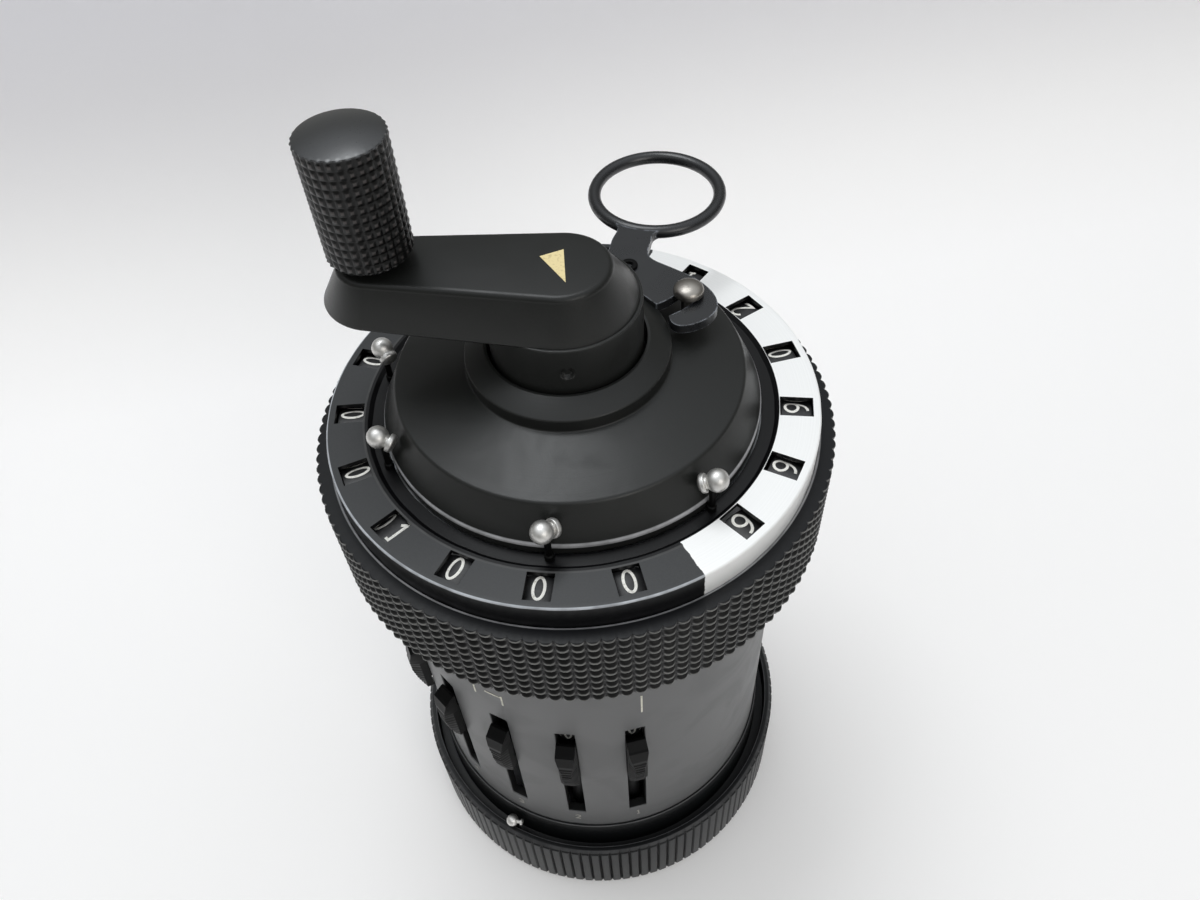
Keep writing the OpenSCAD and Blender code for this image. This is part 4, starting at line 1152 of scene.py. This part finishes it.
def sliderKnob(i):
    shape = knobShape
    foot, wide, tipZ, ridgeTop = shape["foot"], shape["halfW"], shape["tipZ"], shape["ridgeTop"]
    out, side = facing(rollAzimuth(i))
    lowZ = shape["side"][-1][0]
    sections = []
    for k, z in enumerate(evenly(lowZ, tipZ, shape["steps"])):
        share = min(1.0, max(0.0, (tipZ - shape["widest"] - z) / (shape["narrow"] - shape["widest"])))
        half = wide + (shape["halfGrip"] - wide) * share
        ridge = shape["ridge"] * wave((ridgeTop - z) / (ridgeTop - lowZ) * shape["ridges"])
        tip = alongLine(shape["side"], z) + (ridge if z <= ridgeTop else 0.0)
        shoulder = min(shape["shoulder"], tip - shape["shoulderWall"])
        rise = shape["topZ"] - tipZ if k == shape["steps"] else 0.0
        lift = rise * shape["shoulderRise"]
        corners = [(foot, -wide, rise), (shoulder, -wide, lift), (tip, -half, 0.0),
                   (tip, half, 0.0), (shoulder, wide, lift), (foot, wide, rise)]
        sections.append([tuple(out * r + side * x + Vector((0, 0, z + up))) for r, x, up in corners])
    knob = addMesh(f"sliderKnob_{i}", stack(sections), gripBlack, f"slide_{i}", sharp=22)
    bevelEdges(knob, shape["bevel"], 50)
    dress(f"slider_{i}", gripBlack)


for i in range(1, 9):
    sliderKnob(i)
print("calculator: casing and sliders made")


# Decimal markers: a ball on an upright stem, with a collar that leans away from it
beadShape = {"ball": 1.08, "neck": 0.62, "collar": 0.92, "ballAt": (19.5, 76.9), "lean": (0.83, 0.9, -0.5),
             "azimuths": (-104.6, -68.6, -8.9, 39.9), "sides": (1, 1, 1, -1), "wire": 0.32, "foot": 72.82}
baseBead = {"ball": 0.8, "neck": 0.25, "collar": 0.42, "ballAt": (24.08, 13.0), "lean": (1.3, 0.3, 0.2),
            "azimuth": -32, "side": 1, "wire": 0.3, "foot": 9.3}
# The collar's measures are shares of its radius
collarShape = {"back": 0.34, "rear": 0.3, "rearBend": 0.12, "front": 0.2, "frontBend": 0.3, "faceR": 0.6,
               "face": 0.42, "end": 0.45}
stemShape = {"flange": 0.14, "flangeH": 0.5, "taperH": 0.6, "bend": 0.1, "intoBall": 0.3, "along": 0.35,
             "outward": 0.2}


def beadProfile(ball, neck, collar, reach, faceBend=0.3):
    c = {label: share * collar for label, share in collarShape.items()}
    ballTurns = evenly(math.pi, math.asin(neck / ball), 20)
    profile = [(ball * math.sin(t) if k else 0, ball * math.cos(t)) for k, t in enumerate(ballTurns)]
    profile += rounded([(neck, reach - c["back"]), (collar, reach - c["rear"], c["rearBend"]),
                        (collar, reach + c["front"], c["frontBend"]),
                        (c["faceR"], reach + c["face"], faceBend), (0, reach + c["end"])])
    return profile


def stemProfile(wire, foot, top):
    stem = stemShape
    flange = wire + stem["flange"]
    return rounded([(0, foot), (flange, foot), (flange, foot + stem["flangeH"], stem["bend"]),
                    (wire, foot + stem["taperH"]), (wire, top), (0, top)])


def markerBead(node, body, shape, azimuth, side):
    out, up = shape["ballAt"]
    lean = Vector((side * shape["lean"][0], *shape["lean"][1:]))
    points, faces = turned(beadProfile(shape["ball"], shape["neck"], shape["collar"], lean.length), 48)
    tilt = lean.to_track_quat("Z", "Y").to_matrix()
    bead = [tilt @ Vector(p) + Vector((0, -out, up)) for p in points], faces
    points, faces = turned(stemProfile(shape["wire"], shape["foot"], up - stemShape["intoBall"]), 24)
    foot = Vector((lean.x * stemShape["along"], lean.y * stemShape["outward"] - out, 0))
    stem = [Vector(p) + foot for p in points], faces
    turn = Matrix.Rotation(math.radians(azimuth), 3, "Z")
    for label, (points, faces), finish in (("stem_", stem, gripBlack), ("bead_", bead, beadSteel)):
        piece = addMesh(label + node, ([tuple(turn @ p) for p in points], faces), finish, body)
    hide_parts(node)


for i, (azimuth, side) in enumerate(zip(beadShape["azimuths"], beadShape["sides"]), 1):
    markerBead(f"decimal_marker_{i}", f"marker_{i}", beadShape, azimuth, side)
markerBead("base_marker", "base_marker_body", baseBead, baseBead["azimuth"], baseBead["side"])


# Numeral plate with its windows
plateShape = {"windowW": 2.5, "windowL": 3.25, "lip": 0.12, "resultLip": 0.4, "thick": 0.5, "skirt": 0.5,
              "skirtTaper": 0.02, "rim": 0.5, "rimBend": 0.22, "ledgeR": 18.95, "ledgeInset": 0.4,
              "ledgeFall": 0.35, "underFall": 0.8, "underInset": 0.1, "edge": 0.06, "step": 3.0}


def numeralPlate():
    shape = plateShape
    low, high = boxOf("numeral_plate")
    top, ledgeR = high.z, shape["ledgeR"]
    start = plateBore + shape["lip"]
    resultStart, end = start + shape["resultLip"], start + shape["windowL"]
    dials = [f"result_{i}_turn" for i in range(1, 12)] + [f"counter_{i}_turn" for i in range(1, 7)]
    columns = columnsRound([(jointAzimuth(name), shape["windowW"] / 2) for name in dials], shape["step"])
    rim = rounded([(plateR - shape["rim"], top), (plateR, top, shape["rimBend"]),
                   (plateR, top - shape["rim"])])
    ledge, ledgeTop = plateBore - shape["ledgeInset"], top - shape["ledgeFall"]
    above = [(ledgeR, ledgeTop), (ledge, ledgeTop), (plateBore, top), (start, top), (resultStart, top),
             (end, top), *rim, (plateR, low.z)]
    skirtR, under, flat = plateR - shape["skirt"], top - shape["underFall"], top - shape["thick"]
    below = [(ledgeR, under), (ledge, under), (plateBore - shape["underInset"], under), (start, flat),
             (resultStart, flat), (end, flat)]
    below += [(skirtR, flat - shape["skirtTaper"] * k) for k in range(len(rim))] + [(skirtR, low.z)]

    def isWindow(i, j):
        # The result windows begin one row further out than the counter's
        dial = openingAt(columns, j)
        return dial is not None and (i == 4 or (i == 3 and dial > 10))

    form = piercedShell(layer(above, columns), layer(below, columns), isWindow)
    plate = addMesh("windowPlate", form, numberPlate, "carriage", sharp=30)
    bevelEdges(plate, shape["edge"], 40)
    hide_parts("numeral_plate")


numeralPlate()


# Carriage spring, squeezed against the head of the neck tube as the carriage is lifted
springShape = {"wire": 0.3, "turns": 5, "perTurn": 32, "sides": 10, "lift": 3.0}


def carriageSpring():
    shape = springShape
    low, high = boxOf("carriage_spring")
    wire = shape["wire"]
    r, length = high.x - wire, high.z - low.z - 2 * wire
    section = arc((r, 0), wire, 0, 2 * math.pi, shape["sides"])[:-1]
    steps = shape["turns"] * shape["perTurn"]
    rings = []
    for i in range(steps + 1):
        a = 2 * math.pi * i / shape["perTurn"]
        middle = low.z + wire + length * i / steps
        rings.append([(reach * math.cos(a), reach * math.sin(a), middle + up) for reach, up in section])
    coil = addMesh("wireSpring", stack(rings), frameSteel, "spring")
    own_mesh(coil)
    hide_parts("carriage_spring")


carriageSpring()


# Pieces that keep the frame's own shape
for node in ("base_screws", "lower_frame", "upper_plate", "neck_tube", "transmission_shafts", "main_shaft",
             "knob_spindle", "dial_carrier"):
    dress(node, frameSteel)
for node in ("tens_bell", "stepped_drum"):
    dress(node, gearBrass)
dress("reversing_lever", gripBlack)
softEdges("reversing_lever", 0.25)
print("calculator: all pieces dressed")


# Floor and backdrop: one pale sheet that rises behind the object
# The raised tone is a painted shade on the rising wall, which gets less light than the floor
sheetLook = {"bendAngle": 10.3, "bendAt": 88.0, "bendR": 45.0, "bendSteps": 24, "reach": 700.0, "wall": 72.0,
             "floor": (0.9, 0.885, 0.875), "raisedShade": (0.77, 0.765, 0.8), "rise": (2.0, 70.0), "glow": 0.1}


def backdrop():
    look = sheetLook
    r, reach = look["bendR"], look["reach"]
    profile = [(-reach, 0), (look["bendAt"], 0)]
    for t in evenly(0, math.pi / 2, look["bendSteps"])[1:]:
        profile.append((look["bendAt"] + r * math.sin(t), r * (1 - math.cos(t))))
    profile.append((look["bendAt"] + r, look["wall"]))
    turn = Matrix.Rotation(math.radians(look["bendAngle"]), 3, "Z")
    points = [tuple(turn @ Vector((x, y, z)) * mm) for y, z in profile for x in (-reach, reach)]
    faces = [[2 * i, 2 * i + 1, 2 * i + 3, 2 * i + 2] for i in range(len(profile) - 1)]
    mesh = bpy.data.meshes.new("paleSheet")
    mesh.from_pydata(points, [], faces)
    mesh.polygons.foreach_set("use_smooth", [True] * len(mesh.polygons))
    sheet = bpy.data.objects.new("paleSheet", mesh)
    bpy.context.scene.collection.objects.link(sheet)
    finish, tree, shader = newFinish("palePaper", Roughness=0.8)
    # Darker and cooler as the sheet rises: painted shade
    rise = spread(tree, placeParts(tree)[2], *look["rise"])
    tone = blendTones(tree, rise, look["floor"], look["raisedShade"])
    path = addNode(tree, "LightPath").outputs
    mirrored = maths(tree, "MAXIMUM", path["Is Glossy Ray"], path["Is Transmission Ray"])
    seen = maths(tree, "MAXIMUM", path["Is Camera Ray"], mirrored)
    feed(tree, shader, Base_Color=tone, Emission_Color=tone,
         Emission_Strength=maths(tree, "MULTIPLY", seen, look["glow"]))
    mesh.materials.append(finish)


def lamp(name, place, size, power, tint, aim=(0, 0, 0.05)):
    light = bpy.data.lights.new(name, "AREA")
    light.shape = "RECTANGLE"
    light.size, light.size_y = size
    light.energy = power
    light.color = tint
    holder = bpy.data.objects.new(name, light)
    holder.location = place
    holder.rotation_euler = (Vector(aim) - Vector(place)).to_track_quat("-Z", "Y").to_euler()
    bpy.context.scene.collection.objects.link(holder)


lampLook = {
    "overhead": {"place": (-0.08, 0.1, 0.5), "size": (0.26, 0.18), "power": 0.75, "tint": (0.95, 0.98, 1)},
    "front": {"place": (0.25, -0.45, 0.35), "size": (0.3, 0.3), "power": 0.7, "tint": (1, 0.98, 0.95)}}
skyLook = {"low": (0.22, 0.22, 0.21), "high": (0.84, 0.87, 0.9), "from": 0.42, "to": 0.86,
           "seen": (0.86, 0.86, 0.88)}


def sky():
    # Bright overhead and dim towards the horizon, as in a room
    look = skyLook
    world = bpy.data.worlds.new("studio")
    bpy.context.scene.world = world
    world.use_nodes = True
    tree = world.node_tree
    height = addNode(tree, "SeparateXYZ", {0: addNode(tree, "TexCoord").outputs["Generated"]}).outputs[2]
    tone = blendTones(tree, spread(tree, height, look["from"], look["to"]), look["low"], look["high"])
    seen = addNode(tree, "LightPath").outputs["Is Camera Ray"]
    tree.links.new(blendTones(tree, seen, tone, look["seen"]), tree.nodes["Background"].inputs["Color"])


backdrop()
lamp("overheadLamp", **lampLook["overhead"])
lamp("frontLamp", **lampLook["front"])
sky()

view = bpy.context.scene.view_settings
view.view_transform = "Standard"


# Camera at the photograph's angle
cameraLook = {"place": (2.4, -67.5, 144.1), "elevation": 49.72, "roll": -3.94, "focalPixels": 969.7,
              "imageWidth": 1200, "sensor": 36.0}


def addCamera():
    look = cameraLook
    e, r = math.radians(look["elevation"]), math.radians(look["roll"])
    right, up = Vector((1, 0, 0)), Vector((0, math.sin(e), math.cos(e)))
    back = Vector((0, -math.cos(e), math.sin(e)))
    x = right * math.cos(r) + up * math.sin(r)
    y = up * math.cos(r) - right * math.sin(r)
    camera = bpy.data.cameras.new("photoCamera")
    camera.sensor_width = look["sensor"]
    camera.lens = look["focalPixels"] / look["imageWidth"] * look["sensor"]
    camera.clip_start = 0.005
    holder = bpy.data.objects.new("photoCamera", camera)
    turn = Matrix((x, y, back)).transposed().to_4x4()
    holder.matrix_world = Matrix.Translation(Vector(look["place"]) * mm) @ turn
    bpy.context.scene.collection.objects.link(holder)
    bpy.context.scene.camera = holder


addCamera()

print("calculator: scene ready")
